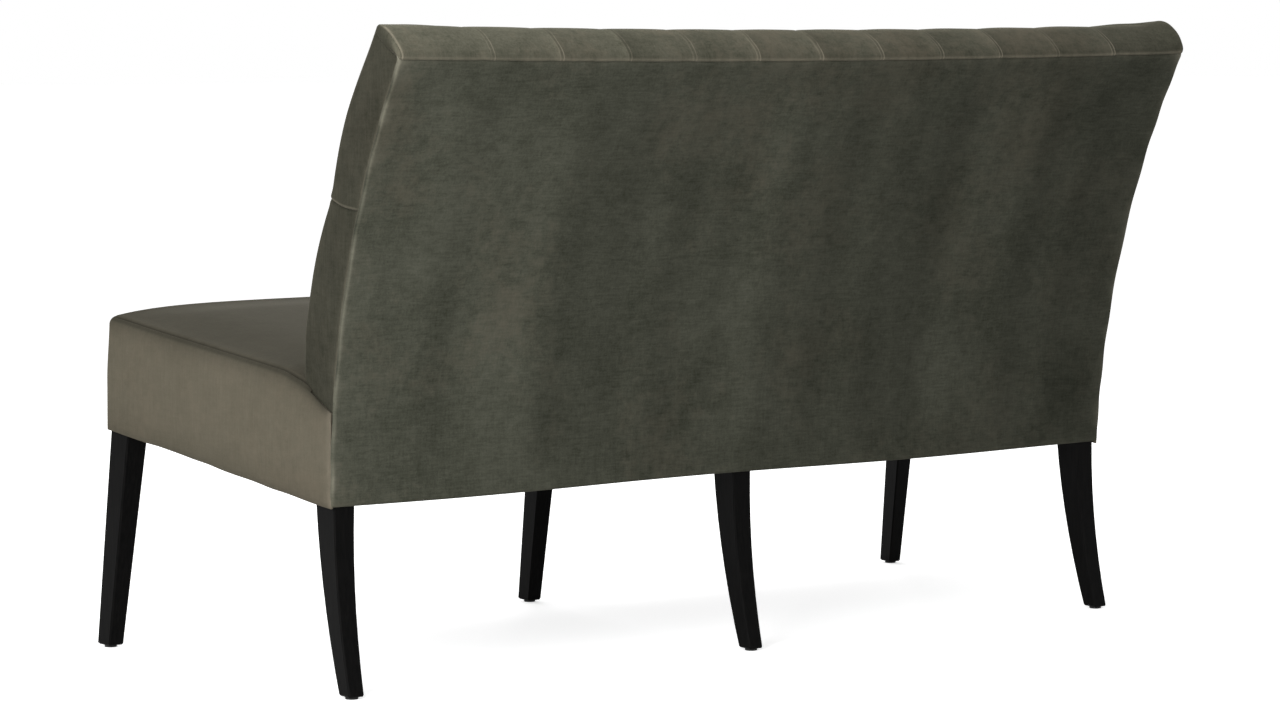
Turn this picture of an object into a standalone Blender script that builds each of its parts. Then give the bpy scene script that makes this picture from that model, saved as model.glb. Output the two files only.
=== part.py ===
"""Armless dining sofa: a hardwood frame on six legs, webbing, foam and velvet covers.

Metres, +Z up. The sitter faces -Y, and +X is the sitter's left. Sizes along Y are worked out from the
lower rear edge of the upholstery, and the root empty then centres the sofa on the origin.
"""

import math

import bmesh
import bpy
from mathutils import Matrix, Vector

# Outline of the upholstery
REAR_WIDTH = 1.380
FRONT_WIDTH = 1.500
SEAT_DEPTH = 0.528
SEAT_FRONT_UNDERSIDE = 0.322
SEAT_REAR_UNDERSIDE = 0.258
SEAT_BOX_HEIGHT = 0.162
SEAT_CROWN = 0.018
SEAT_EDGE_RADIUS = 0.006

# The back's rear face: upright to the bend, then an arc that leans away
BACK_BEND_HEIGHT = 0.280
BACK_LEAN = math.radians(3.0)
BACK_RADIUS = 1.250
BACK_SEAM = 0.605  # along the arc, from the bend up to the seam below the top roll
BACK_DEPTH_LOW = 0.094
BACK_DEPTH_HIGH = 0.080
BACK_CREASE = 0.136  # along the arc, where the inside back meets the seat
BACK_TUCK = 0.104  # along the arc, where the side of the back tucks in behind the seat
BACK_EDGE_ROUND = 0.012
ROLL_HEIGHT = 0.028
BACK_CROWN = 0.008

# Deep buttoning: three rows on a diamond grid
BUTTONED_MARGIN = 0.030  # plain stretch at each side of the buttoning
BUTTON_ROW_PITCH = 0.115
MIDDLE_BUTTON_ROW = 0.374  # along the arc
TUFT_RELIEF = 0.012
SIDE_PLEAT_RELIEF = 0.012

# Legs
LEG_WIDTH = 0.033
FOOT_WIDTH = 0.024
FRONT_LEG_DEPTH = 0.041
LEG_CORNER_SHARE = 0.2  # of the cover's rounded corner, which the front legs keep clear of
FRONT_FOOT_DEPTH = 0.029
FRONT_LEG_RAKE = 0.042
REAR_LEG_DEPTH = 0.048
REAR_FOOT_DEPTH = 0.027
REAR_LEG_SWEEP = 0.037
LEG_EDGE = 0.002
EASED_ANGLE = math.radians(40)
GLIDE_HEIGHT = 0.003
GLIDE_RADIUS = 0.009

# Frame
RAIL_THICKNESS = 0.025
RAIL_HEIGHT = 0.080
BACK_FRAME_THICKNESS = 0.025
CREST_RAIL_HEIGHT = 0.064
LOWER_BACK_RAIL_START = 0.190  # along the arc
LOWER_BACK_RAIL_HEIGHT = 0.060
POST_THINNING_START = 0.040  # along the arc
POST_THINNING_END = 0.115  # along the arc
TENON_LENGTH = 0.018
CROSS_TENON_LENGTH = 0.013  # two of these meet in a middle leg
TENON_THICKNESS = 0.010
TENON_HEIGHT = 0.050
BLOCK_LEG = 0.050
BLOCK_HEIGHT = 0.030

# Webbing and cloth
STRAP_WIDTH = 0.050
STRAP_THICKNESS = 0.002
STRAP_END_MARGIN = 0.003
SEAT_STRAPS_PER_SIDE = 5
BACK_STRAPS_PER_SIDE = 4
COVER_THICKNESS = 0.003
DUST_COVER_THICKNESS = 0.001
DUST_COVER_INSET = 0.012

CLEARANCE = 0.0003
WEBBING_CLEARANCE = 0.0009
SEAM_CLEARANCE = 0.0012  # covers the sag of the coarse rows along the back's arc
ARC_STEP = 0.040
CUTTER_OVERRUN = 0.010

# Grid of the soft forms
SEAT_COLUMNS = 10
SEAT_ROWS = 6
WALL_STEPS = 2
ROLL_STEPS = 5
HALF_PITCHES = 12  # half button pitches each side of the middle
ROW_HALF_STEPS = 3  # each side of the middle button row

# Worked-out sizes
FRAME_INSET = COVER_THICKNESS + CLEARANCE
SEAT_SLOPE = (SEAT_FRONT_UNDERSIDE - SEAT_REAR_UNDERSIDE) / SEAT_DEPTH
SIDE_FLARE = (FRONT_WIDTH - REAR_WIDTH) / 2 / SEAT_DEPTH
FRONT_LEG_INSET = FRAME_INSET + LEG_CORNER_SHARE * SEAT_EDGE_RADIUS
FRONT_LEG_FACE = -SEAT_DEPTH + FRONT_LEG_INSET
FRONT_LEG_BACK = FRONT_LEG_FACE + FRONT_LEG_DEPTH
REAR_LEG_FACE = -FRAME_INSET
REAR_LEG_FRONT = REAR_LEG_FACE - REAR_LEG_DEPTH
SEAT_END = REAR_LEG_FRONT - CLEARANCE
RAIL_LIFT = DUST_COVER_THICKNESS + 2 * CLEARANCE
RAIL_TOP = RAIL_LIFT + RAIL_HEIGHT
FOAM_BASE = RAIL_TOP + STRAP_THICKNESS + 2 * CLEARANCE
FOOT_BASE = GLIDE_HEIGHT + CLEARANCE
WALL_BACK = COVER_THICKNESS + SEAM_CLEARANCE
FRAME_FRONT = FRAME_INSET + BACK_FRAME_THICKNESS
WEB_BACK = FRAME_FRONT + WEBBING_CLEARANCE
WEB_FRONT = WEB_BACK + STRAP_THICKNESS
BACK_FOAM_BACK = WEB_FRONT + WEBBING_CLEARANCE
CREST_TOP = BACK_SEAM - 2 * CLEARANCE
CREST_BOTTOM = CREST_TOP - CREST_RAIL_HEIGHT
CREST_TENON_BACK = FRAME_INSET + (BACK_FRAME_THICKNESS - TENON_THICKNESS) / 2
ROLL_BASE = BACK_SEAM + CLEARANCE
BUTTON_PITCH = (REAR_WIDTH - 2 * BUTTONED_MARGIN) / HALF_PITCHES
WEBBED_HALF_WIDTH = REAR_WIDTH / 2 - FRAME_INSET - LEG_WIDTH
PANEL_START = SEAT_REAR_UNDERSIDE - BACK_BEND_HEIGHT


def half_width(y):
    """Half the upholstery's width at a depth: the seat widens towards the front."""
    return REAR_WIDTH / 2 + SIDE_FLARE * max(0.0, -y)


def underside(y):
    return SEAT_REAR_UNDERSIDE - SEAT_SLOPE * y


def seat_edge(y):
    return underside(y) + SEAT_BOX_HEIGHT


def seat_top(x, y):
    return seat_edge(y) + SEAT_CROWN * (1 - (x / half_width(y)) ** 4)


def back_point(along, depth):
    """(y, z) of a point of the back: along its rear face, then forwards at right angles to it."""
    if along < 0:
        return -depth, BACK_BEND_HEIGHT + along
    angle = BACK_LEAN + along / BACK_RADIUS
    y = BACK_RADIUS * (math.cos(BACK_LEAN) - math.cos(angle)) - depth * math.cos(angle)
    z = BACK_BEND_HEIGHT + BACK_RADIUS * (math.sin(angle) - math.sin(BACK_LEAN)) + depth * math.sin(angle)
    return y, z


def reach_of_roll():
    """The rearmost Y of the top roll's outer surface."""
    turns = [math.pi * step / ROLL_STEPS for step in range(ROLL_STEPS + 1)]
    return max(back_point(*roll_point(turn, 0.0))[0] for turn in turns)


def roll_point(turn, inset):
    """(along, depth) on the top roll, from its front at 0 to the rear seam at pi."""
    middle = BACK_DEPTH_HIGH / 2
    depth = middle + (middle - inset) * math.cos(turn)
    return ROLL_BASE + (ROLL_HEIGHT - inset) * math.sin(turn), depth


# Scene, materials and objects


def clear_scene():
    for item in list(bpy.data.objects):
        bpy.data.objects.remove(item, do_unlink=True)


def new_collection(name):
    collection = bpy.data.collections.new(name)
    bpy.context.scene.collection.children.link(collection)
    return collection


def new_material(name, colour, roughness, metallic=0.0):
    material = bpy.data.materials.new(name)
    material.use_nodes = True
    shader = material.node_tree.nodes["Principled BSDF"]
    shader.inputs["Base Color"].default_value = (*colour, 1.0)
    shader.inputs["Roughness"].default_value = roughness
    shader.inputs["Metallic"].default_value = metallic
    return material


def new_object(name, shape, collection, root):
    """Turns a bmesh into an object under the root, with its faces pointing out."""
    bmesh.ops.recalc_face_normals(shape, faces=shape.faces[:])
    mesh = bpy.data.meshes.new(name)
    shape.to_mesh(mesh)
    shape.free()
    item = bpy.data.objects.new(name, mesh)
    collection.objects.link(item)
    item.parent = root
    return item


class Workshop:
    """The collections, the root empty and the materials that every piece uses."""

    def __init__(self):
        clear_scene()
        self.parts = new_collection("dining_sofa")
        self.cutters = new_collection("cutters")
        self.root = bpy.data.objects.new("dining_sofa_root", None)
        self.parts.objects.link(self.root)
        front = FRONT_LEG_FACE - FRONT_LEG_RAKE
        self.root.location.y = -(front + reach_of_roll()) / 2
        self.wood = new_material("frame_wood", (0.46, 0.30, 0.17), 0.6)
        self.black = new_material("black_stain", (0.010, 0.009, 0.009), 0.35)
        self.velvet = new_material("velvet", (0.115, 0.108, 0.085), 0.85)
        self.foam = new_material("foam", (0.80, 0.72, 0.50), 0.95)
        self.webbing = new_material("webbing", (0.30, 0.26, 0.20), 0.9)
        self.cambric = new_material("cambric", (0.012, 0.012, 0.013), 0.95)
        self.nylon = new_material("nylon", (0.03, 0.03, 0.03), 0.5)

    def part(self, name, shape, material):
        item = new_object(name, shape, self.parts, self.root)
        item.data.materials.append(material)
        return item

    def cutter(self, name, shape):
        item = new_object(name, shape, self.cutters, self.root)
        item.hide_render = True
        item.display_type = "WIRE"
        return item


def combine(item, other, operation):
    modifier = item.modifiers.new(operation.lower(), "BOOLEAN")
    modifier.operation = operation
    modifier.solver = "EXACT"
    modifier.object = other


def box(middle, *edges):
    """A bmesh box, straight or slanted, from its middle and its three edge vectors."""
    shape = bmesh.new()
    columns = Matrix([Vector(edge) for edge in edges]).transposed().to_4x4()
    bmesh.ops.create_cube(shape, size=1, matrix=Matrix.Translation(middle) @ columns)
    return shape


def extruded(outline, thickness, place):
    """A flat outline given a thickness, each point (u, v, w) then moved to place(u, v, w)."""
    curve = bpy.data.curves.new("outline", "CURVE")
    curve.dimensions = "2D"
    curve.fill_mode = "BOTH"
    curve.extrude = thickness / 2
    spline = curve.splines.new("POLY")
    spline.points.add(len(outline) - 1)
    spline.use_cyclic_u = True
    for point, (u, v) in zip(spline.points, outline):
        point.co = (u, v, 0, 1)
    guide = bpy.data.objects.new("outline", curve)
    bpy.context.scene.collection.objects.link(guide)
    graph = bpy.context.evaluated_depsgraph_get()
    mesh = bpy.data.meshes.new_from_object(guide.evaluated_get(graph))
    bpy.data.objects.remove(guide, do_unlink=True)
    shape = bmesh.new()
    shape.from_mesh(mesh)
    bpy.data.meshes.remove(mesh)
    bmesh.ops.remove_doubles(shape, verts=shape.verts[:], dist=1e-5)
    for vertex in shape.verts:
        vertex.co = place(*vertex.co)
    return shape


def stations(start, end):
    """Evenly spaced lengths along the arc, near enough to follow its curve."""
    count = max(1, math.ceil((end - start) / ARC_STEP))
    return [start + (end - start) * step / count for step in range(count + 1)]


def band(start, end, back, front):
    """(y, z) outline of a layer of the back, between two lengths and two depths."""
    rear_line = [back_point(along, back) for along in stations(start, end)]
    front_line = [back_point(along, front) for along in reversed(stations(start, end))]
    return rear_line + front_line


def layer(start, end, back, front, middle_x, width):
    """A layer of the back as a solid across the sofa."""
    outline = band(start, end, back, front)
    return extruded(outline, width, lambda y, z, across: (middle_x + across, y, z))


# Legs and posts


def front_leg_outer(y):
    """X of a front side leg's outer face: it follows the seat's flare."""
    return half_width(y) - FRONT_LEG_INSET


def post_outer(y):
    """X of a rear side post's outer face, the same all the way."""
    return half_width(0) - FRAME_INSET


def leg_middle(side, y, outer):
    """X of a leg's middle at a depth, which is 0 for the middle legs."""
    return side * (outer(y) - LEG_WIDTH / 2)


def leg_place(side, outer):
    """Places a leg's points: a side leg narrows on its inner side only, a middle leg on both."""

    def place(y, z, across):
        below = max(0.0, 1 - z / underside(y))
        loss = (LEG_WIDTH - FOOT_WIDTH) * below
        middle = leg_middle(side, y, outer) + side * loss / 2
        return middle + across * (1 - loss / LEG_WIDTH), y, z

    return place


def leg_piece(shop, name, side, outer, outline):
    """A leg from its side outline, its edges eased where it shows below the seat."""
    shape = extruded(outline, LEG_WIDTH, leg_place(side, outer))
    weight = shape.edges.layers.float.new("bevel_weight_edge")
    for edge in shape.edges:
        shows = all(vertex.co.z < underside(vertex.co.y) + CLEARANCE for vertex in edge.verts)
        if shows and edge.calc_face_angle() > EASED_ANGLE:
            edge[weight] = 1.0
    item = shop.part(name, shape, shop.black)
    bevel = item.modifiers.new("eased edges", "BEVEL")
    bevel.width = LEG_EDGE
    bevel.segments = 1
    bevel.limit_method = "WEIGHT"
    return item


def front_leg(shop, name, side):
    foot_face = FRONT_LEG_FACE - FRONT_LEG_RAKE
    outline = [
        (foot_face, FOOT_BASE),
        (foot_face + FRONT_FOOT_DEPTH, FOOT_BASE),
        (FRONT_LEG_BACK, underside(FRONT_LEG_BACK)),
        (FRONT_LEG_BACK, underside(FRONT_LEG_BACK) + RAIL_TOP),
        (FRONT_LEG_FACE, underside(FRONT_LEG_FACE) + RAIL_TOP),
        (FRONT_LEG_FACE, underside(FRONT_LEG_FACE)),
    ]
    return leg_piece(shop, name, side, front_leg_outer, outline)


def sabre_stations():
    count = math.ceil(SEAT_REAR_UNDERSIDE / ARC_STEP)
    return [FOOT_BASE + (SEAT_REAR_UNDERSIDE - FOOT_BASE) * step / count for step in range(count)]


def sabre_rear(z):
    return REAR_LEG_FACE + REAR_LEG_SWEEP * (1 - z / SEAT_REAR_UNDERSIDE) ** 2


def sabre_depth(z):
    return REAR_FOOT_DEPTH + (REAR_LEG_DEPTH - REAR_FOOT_DEPTH) * z / SEAT_REAR_UNDERSIDE


def post_depth(along):
    """The post is as deep as the leg at the seat and thins to the back frame's thickness above it."""
    run = (along - POST_THINNING_START) / (POST_THINNING_END - POST_THINNING_START)
    run = min(1.0, max(0.0, run))
    return REAR_LEG_DEPTH + (BACK_FRAME_THICKNESS - REAR_LEG_DEPTH) * run


def post_outline():
    top = CREST_BOTTOM - CLEARANCE
    tenon_top = CREST_BOTTOM + TENON_LENGTH
    levels = sabre_stations()
    arc = stations(PANEL_START, POST_THINNING_START)
    arc += stations(POST_THINNING_START, POST_THINNING_END)[1:]
    arc += stations(POST_THINNING_END, top)[1:]
    outline = [(sabre_rear(z) - sabre_depth(z), z) for z in reversed(levels)]
    outline += [(sabre_rear(z), z) for z in levels]
    outline += [back_point(along, FRAME_INSET) for along in arc]
    outline += [back_point(along, CREST_TENON_BACK) for along in (top, tenon_top)]
    tenon_front = CREST_TENON_BACK + TENON_THICKNESS
    outline += [back_point(along, tenon_front) for along in (tenon_top, top)]
    outline += [back_point(along, FRAME_INSET + post_depth(along)) for along in reversed(arc)]
    return outline


def rear_post(shop, name, side, crest):
    item = leg_piece(shop, name, side, post_outer, post_outline())
    low = CREST_BOTTOM - CUTTER_OVERRUN
    high = CREST_BOTTOM + TENON_LENGTH + CLEARANCE
    back = CREST_TENON_BACK - CLEARANCE
    front = CREST_TENON_BACK + TENON_THICKNESS + CLEARANCE
    middle_x = leg_middle(side, 0, post_outer)
    slot = layer(low, high, back, front, middle_x, LEG_WIDTH + 2 * CLEARANCE)
    combine(crest, shop.cutter(name + "_mortise", slot), "DIFFERENCE")
    return item


def glide(shop, name, side, outer, foot_middle):
    shape = bmesh.new()
    middle_x = leg_middle(side, foot_middle, outer) + side * (LEG_WIDTH - FOOT_WIDTH) / 2
    spot = Matrix.Translation((middle_x, foot_middle, GLIDE_HEIGHT / 2))
    bmesh.ops.create_cone(
        shape,
        cap_ends=True,
        segments=16,
        radius1=GLIDE_RADIUS,
        radius2=GLIDE_RADIUS,
        depth=GLIDE_HEIGHT,
        matrix=spot,
    )
    return shop.part(name, shape, shop.nylon)


# Seat frame


def tenoned(shop, name, body, tenon, mortise, hosts):
    """A rail whose tenons sit in mortises cut from the pieces that hold it."""
    item = shop.part(name, body, shop.wood)
    combine(item, shop.cutter(name + "_tenon", tenon), "UNION")
    cut = shop.cutter(name + "_mortise", mortise)
    for host in hosts:
        combine(host, cut, "DIFFERENCE")
    return item


def seat_rail(shop, name, start, end, thick, tenon_length, hosts):
    """A rail from start to end, both (x, y) at its middle, following the seat's slope."""
    ends = [Vector((x, y, underside(y) + RAIL_LIFT + RAIL_HEIGHT / 2)) for x, y in (start, end)]
    middle = (ends[0] + ends[1]) / 2
    run = ends[1] - ends[0]
    thick = Vector(thick)
    up = Vector((0, 0, 1))

    def bar(extra, thickness, height):
        return box(middle, run + run.normalized() * extra, thick * thickness, up * height)

    tenon = bar(2 * tenon_length, TENON_THICKNESS, TENON_HEIGHT)
    room = 2 * CLEARANCE
    mortise = bar(2 * tenon_length + room, TENON_THICKNESS + room, TENON_HEIGHT + room)
    return tenoned(shop, name, bar(0, RAIL_THICKNESS, RAIL_HEIGHT), tenon, mortise, hosts)


def cross_rail(shop, name, side, leg_outer, middle_y, hosts):
    """A front or rear rail, from a side leg to the middle leg, level across the sofa."""
    outer = leg_outer(middle_y + RAIL_THICKNESS / 2) - LEG_WIDTH - CLEARANCE
    inner = LEG_WIDTH / 2 + CLEARANCE
    slanted = (0, 1, -SEAT_SLOPE)
    ends = [(side * outer, middle_y), (side * inner, middle_y)]
    return seat_rail(shop, name, *ends, slanted, CROSS_TENON_LENGTH, hosts)


def long_rail(shop, name, side, hosts):
    """A rail from a rear post to the front leg before it."""
    rear = SEAT_END
    front = FRONT_LEG_BACK + CLEARANCE

    def middle(y):
        return side * (half_width(y) - FRAME_INSET - RAIL_THICKNESS / 2), y

    return seat_rail(shop, name, middle(rear), middle(front), (1, 0, 0), TENON_LENGTH, hosts)


def corner_block(shop, name, side, leg_outer, leg_inner_y, rail_y, inward):
    """A glue block that fits round a leg's inner corner, against the two rails there."""

    def leg_inner(y):
        return leg_outer(y) - LEG_WIDTH - CLEARANCE

    def rail_inner(y):
        return half_width(y) - FRAME_INSET - RAIL_THICKNESS - CLEARANCE

    near_y = leg_inner_y + inward * CLEARANCE
    far_y = near_y + inward * BLOCK_LEG
    on_rail_y = rail_y + inward * CLEARANCE
    leg_x = min(leg_inner(near_y), leg_inner(on_rail_y))
    outline = [
        (rail_inner(near_y), near_y),
        (rail_inner(far_y), far_y),
        (leg_x - BLOCK_LEG, on_rail_y),
        (leg_x, on_rail_y),
        (leg_x, near_y),
    ]
    base = RAIL_LIFT + (RAIL_HEIGHT - BLOCK_HEIGHT) / 2

    def place(x, y, rise):
        return side * x, y, underside(y) + base + BLOCK_HEIGHT / 2 + rise

    return shop.part(name, extruded(outline, BLOCK_HEIGHT, place), shop.wood)


def strap_places(count):
    """X of the middles of the straps on one side, evenly spread from the middle rail to the post."""
    return [WEBBED_HALF_WIDTH * (step + 0.5) / count for step in range(count)]


def seat_strap(shop, name, x):
    front = FRONT_LEG_FACE + STRAP_END_MARGIN
    rear = REAR_LEG_FACE - STRAP_END_MARGIN
    middle_y = (front + rear) / 2
    level = underside(middle_y) + RAIL_TOP + CLEARANCE + STRAP_THICKNESS / 2
    run = (0, rear - front, -SEAT_SLOPE * (rear - front))
    shape = box((x, middle_y, level), (STRAP_WIDTH, 0, 0), run, (0, 0, STRAP_THICKNESS))
    return shop.part(name, shape, shop.webbing)


# Back frame


def crest_rail(shop):
    width = 2 * (half_width(0) - FRAME_INSET)
    shape = layer(CREST_BOTTOM, CREST_TOP, FRAME_INSET, FRAME_FRONT, 0, width)
    return shop.part("crest_rail", shape, shop.wood)


def lower_back_rail(shop, name, side, hosts):
    outer = half_width(0) - FRAME_INSET - LEG_WIDTH - CLEARANCE
    inner = LEG_WIDTH / 2 + CLEARANCE
    middle_x = side * (outer + inner) / 2
    length = outer - inner
    start = LOWER_BACK_RAIL_START
    end = start + LOWER_BACK_RAIL_HEIGHT
    shoulder = (LOWER_BACK_RAIL_HEIGHT - TENON_HEIGHT) / 2
    cheek = (BACK_FRAME_THICKNESS - TENON_THICKNESS) / 2

    def tongue(room):
        low = start + shoulder - room
        high = end - shoulder + room
        back = FRAME_INSET + cheek - room
        front = FRAME_FRONT - cheek + room
        return layer(low, high, back, front, middle_x, length + 2 * (CROSS_TENON_LENGTH + room))

    body = layer(start, end, FRAME_INSET, FRAME_FRONT, middle_x, length)
    return tenoned(shop, name, body, tongue(0), tongue(CLEARANCE), hosts)


def back_strap(shop, name, x):
    start = LOWER_BACK_RAIL_START + STRAP_END_MARGIN
    end = CREST_TOP - STRAP_END_MARGIN
    return shop.part(name, layer(start, end, WEB_BACK, WEB_FRONT, x, STRAP_WIDTH), shop.webbing)


# Seat foam and cover


def spread(index, last, start, end, edge_start, edge_end):
    """Evenly spaced places, with the first or last one set a corner's radius in from the end."""
    if index == 0:
        return start
    if index == last:
        return end
    first = start + edge_start
    return first + (end - edge_end - first) * (index - 1) / (last - 2)


def seat_grid():
    """A box with its faces divided for shaping, from -0.5 to 0.5 each way."""
    shape = bmesh.new()
    bmesh.ops.create_cube(shape, size=1)
    for axis, cuts in ((0, SEAT_COLUMNS - 1), (1, SEAT_ROWS - 1), (2, 1)):
        along = [e for e in shape.edges if abs((e.verts[0].co - e.verts[1].co)[axis]) > 1e-6]
        bmesh.ops.subdivide_edges(shape, edges=along, cuts=cuts, use_grid_fill=True)
    return shape


def seat_point(column, row, level, inset, base, rear):
    """A point of the seat's form: level 0 is its base, 1 the lower end of the rounded edge, 2 the top."""
    radius = SEAT_EDGE_RADIUS - inset
    y = spread(row, SEAT_ROWS, -SEAT_DEPTH + inset, rear, radius, 0.0)
    if row == SEAT_ROWS - 1:
        y = SEAT_END
    half = half_width(y) - inset
    x = spread(column, SEAT_COLUMNS, -half, half, radius, radius)
    top = seat_top(x, y) - inset
    z = (underside(y) + base, top - radius, top)[level]
    out = Vector((max(0.0, abs(x) - half + radius), max(0.0, -SEAT_DEPTH + inset + radius - y), 0))
    out.z = max(0.0, z - top + radius)
    if out.length > radius:
        pull = out * (1 - radius / out.length)
        x -= math.copysign(pull.x, x)
        y += pull.y
        z -= pull.z
    return Vector((x, y, z))


def shape_seat(shape, inset, base, rear):
    for vertex in shape.verts:
        column = round((vertex.co.x + 0.5) * SEAT_COLUMNS)
        row = round((vertex.co.y + 0.5) * SEAT_ROWS)
        level = round((vertex.co.z + 0.5) * 2)
        vertex.co = seat_point(column, row, level, inset, base, rear)


def seat_foam(shop):
    shape = seat_grid()
    shape_seat(shape, FRAME_INSET + 2 * CLEARANCE, FOAM_BASE, SEAT_END)
    bmesh.ops.remove_doubles(shape, verts=shape.verts[:], dist=1e-5)
    return shop.part("seat_foam", shape, shop.foam)


def seat_cover(shop):
    """Velvet over the top, front and sides, open below, behind and where the posts come up."""
    shape = seat_grid()
    last_row = 0.5 - 1 / SEAT_ROWS
    spare = []
    for face in shape.faces:
        spot = face.calc_center_median()
        below_or_behind = face.normal.z < -0.5 or face.normal.y > 0.5
        at_posts = face.normal.z > 0.5 and spot.y > last_row
        if below_or_behind or at_posts:
            spare.append(face)
    bmesh.ops.delete(shape, geom=spare, context="FACES")
    shape_seat(shape, 0.0, 0.0, REAR_LEG_FACE)
    drop = seat_edge(0) - back_point(BACK_TUCK, 0.0)[1] - SEAT_EDGE_RADIUS / 2
    for vertex in shape.verts:
        if vertex.co.y > SEAT_END + CLEARANCE and vertex.co.z > underside(vertex.co.y) + SEAT_EDGE_RADIUS:
            vertex.co.z -= drop
            vertex.co.x = math.copysign(half_width(vertex.co.y), vertex.co.x)
    mesh_open = shop.part("seat_cover", shape, shop.velvet)
    shell = mesh_open.modifiers.new("cloth", "SOLIDIFY")
    shell.thickness = COVER_THICKNESS
    shell.offset = -1
    shell.use_even_offset = True
    return mesh_open


# Back foam and covers


def back_columns():
    """X of the front's columns with their half-pitch index, from one side edge to the other."""
    half = REAR_WIDTH / 2
    inner = [(BUTTON_PITCH / 2 * k, k) for k in range(-HALF_PITCHES, HALF_PITCHES + 1)]
    return [(-half, None)] + inner + [(half, None)]


def back_rows():
    """Lengths along the arc of the front's rows with their half-row index, from the crease up."""
    rows = [(BACK_CREASE, -ROW_HALF_STEPS - 1)]
    for step in range(-ROW_HALF_STEPS, ROW_HALF_STEPS + 1):
        rows.append((MIDDLE_BUTTON_ROW + BUTTON_ROW_PITCH / 2 * step, step))
    rows.append((ROLL_BASE, ROW_HALF_STEPS + 1))
    return rows


def tuft(column, row):
    """Relief of the buttoning: down at the buttons and pleats, up in the diamonds between them."""
    if column is None or abs(column) == HALF_PITCHES:
        edge = SIDE_PLEAT_RELIEF if row == 0 else 0.0
        rounding = BACK_EDGE_ROUND if column is None else 0.0
        return -edge - rounding
    wave = math.cos(math.pi * column)
    if abs(row) >= 2:
        fade = 1.0 - 0.3 * (abs(row) - 2)
        return BACK_CROWN - TUFT_RELIEF * wave * max(0.0, fade)
    return BACK_CROWN + TUFT_RELIEF * wave * math.cos(math.pi * row / 2)


def back_depth(along):
    share = min(1.0, max(0.0, (along - BACK_CREASE) / (ROLL_BASE - BACK_CREASE)))
    return BACK_DEPTH_LOW + (BACK_DEPTH_HIGH - BACK_DEPTH_LOW) * share


def front_point(column, row, inset):
    """(along, depth) of the inside back's surface at a column and a row of the whole form."""
    rows = back_rows()
    if row < len(rows):
        along, step = rows[row]
        fade = 0.0 if row == len(rows) - 1 else 1.0
        return along, back_depth(along) - inset + fade * tuft(column, step)
    return roll_point(math.pi * (row - len(rows) + 1) / ROLL_STEPS, inset)


def slab(columns, rows, place):
    """A closed sheet of two layers on a grid, each point put at place(column, row, layer)."""
    shape = bmesh.new()
    bmesh.ops.create_grid(shape, x_segments=columns, y_segments=rows, size=0.5)
    bmesh.ops.triangulate(shape, faces=shape.faces[:], quad_method="FIXED")
    bmesh.ops.solidify(shape, geom=shape.faces[:], thickness=0.1)
    for vertex in shape.verts:
        column = round((vertex.co.x + 0.5) * columns)
        row = round((vertex.co.y + 0.5) * rows)
        side = 0 if abs(vertex.co.z) < 0.05 else 1
        vertex.co = place(column, row, side)
    bmesh.ops.remove_doubles(shape, verts=shape.verts[:], dist=1e-5)
    return shape


def on_seat(x, along, depth, lift):
    """A point of the crease row, set down on the seat."""
    y = back_point(along, depth)[0]
    return x, y, seat_top(x, y) + lift


def inside_back_cover(shop):
    columns = back_columns()
    last = len(columns) - 1

    def place(column, row, side):
        inset = COVER_THICKNESS * side
        front = min(max(column - WALL_STEPS, 0), last)
        x, index = columns[front]
        if index is None:
            x = math.copysign(abs(x) - inset, x)
        outward = max(WALL_STEPS - column, column - WALL_STEPS - last, 0)
        forward = 1 - outward / WALL_STEPS
        along, depth = front_point(index, row, inset)
        depth = WALL_BACK + (depth - WALL_BACK) * forward
        if row == 0 and forward > 0:
            return on_seat(x, along, depth, CLEARANCE)
        rear_along = BACK_TUCK if row == 0 else min(along, ROLL_BASE)
        along = rear_along + (along - rear_along) * forward
        return x, *back_point(along, depth)

    rows = len(back_rows()) - 1 + ROLL_STEPS
    shape = slab(last + 2 * WALL_STEPS, rows, place)
    return shop.part("inside_back_cover", shape, shop.velvet)


def back_foam(shop):
    columns = back_columns()
    front_rows = len(back_rows()) - 1

    def place(column, row, side):
        x, index = columns[column]
        inset = FRAME_INSET
        if index is None:
            x = math.copysign(abs(x) - inset, x)
        along, depth = front_point(index, row, inset)
        if side == 1:
            over = max(0, row - front_rows) / ROLL_STEPS
            along = min(along, ROLL_BASE)
            depth = BACK_FOAM_BACK + (inset - BACK_FOAM_BACK) * over
        if row == 0:
            return on_seat(x, along, depth, 2 * CLEARANCE)
        return x, *back_point(along, depth)

    shape = slab(len(columns) - 1, front_rows + ROLL_STEPS, place)
    return shop.part("back_foam", shape, shop.foam)


def outside_back_cover(shop):
    shape = layer(PANEL_START, BACK_SEAM, 0.0, COVER_THICKNESS, 0, REAR_WIDTH)
    return shop.part("outside_back_cover", shape, shop.velvet)


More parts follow.
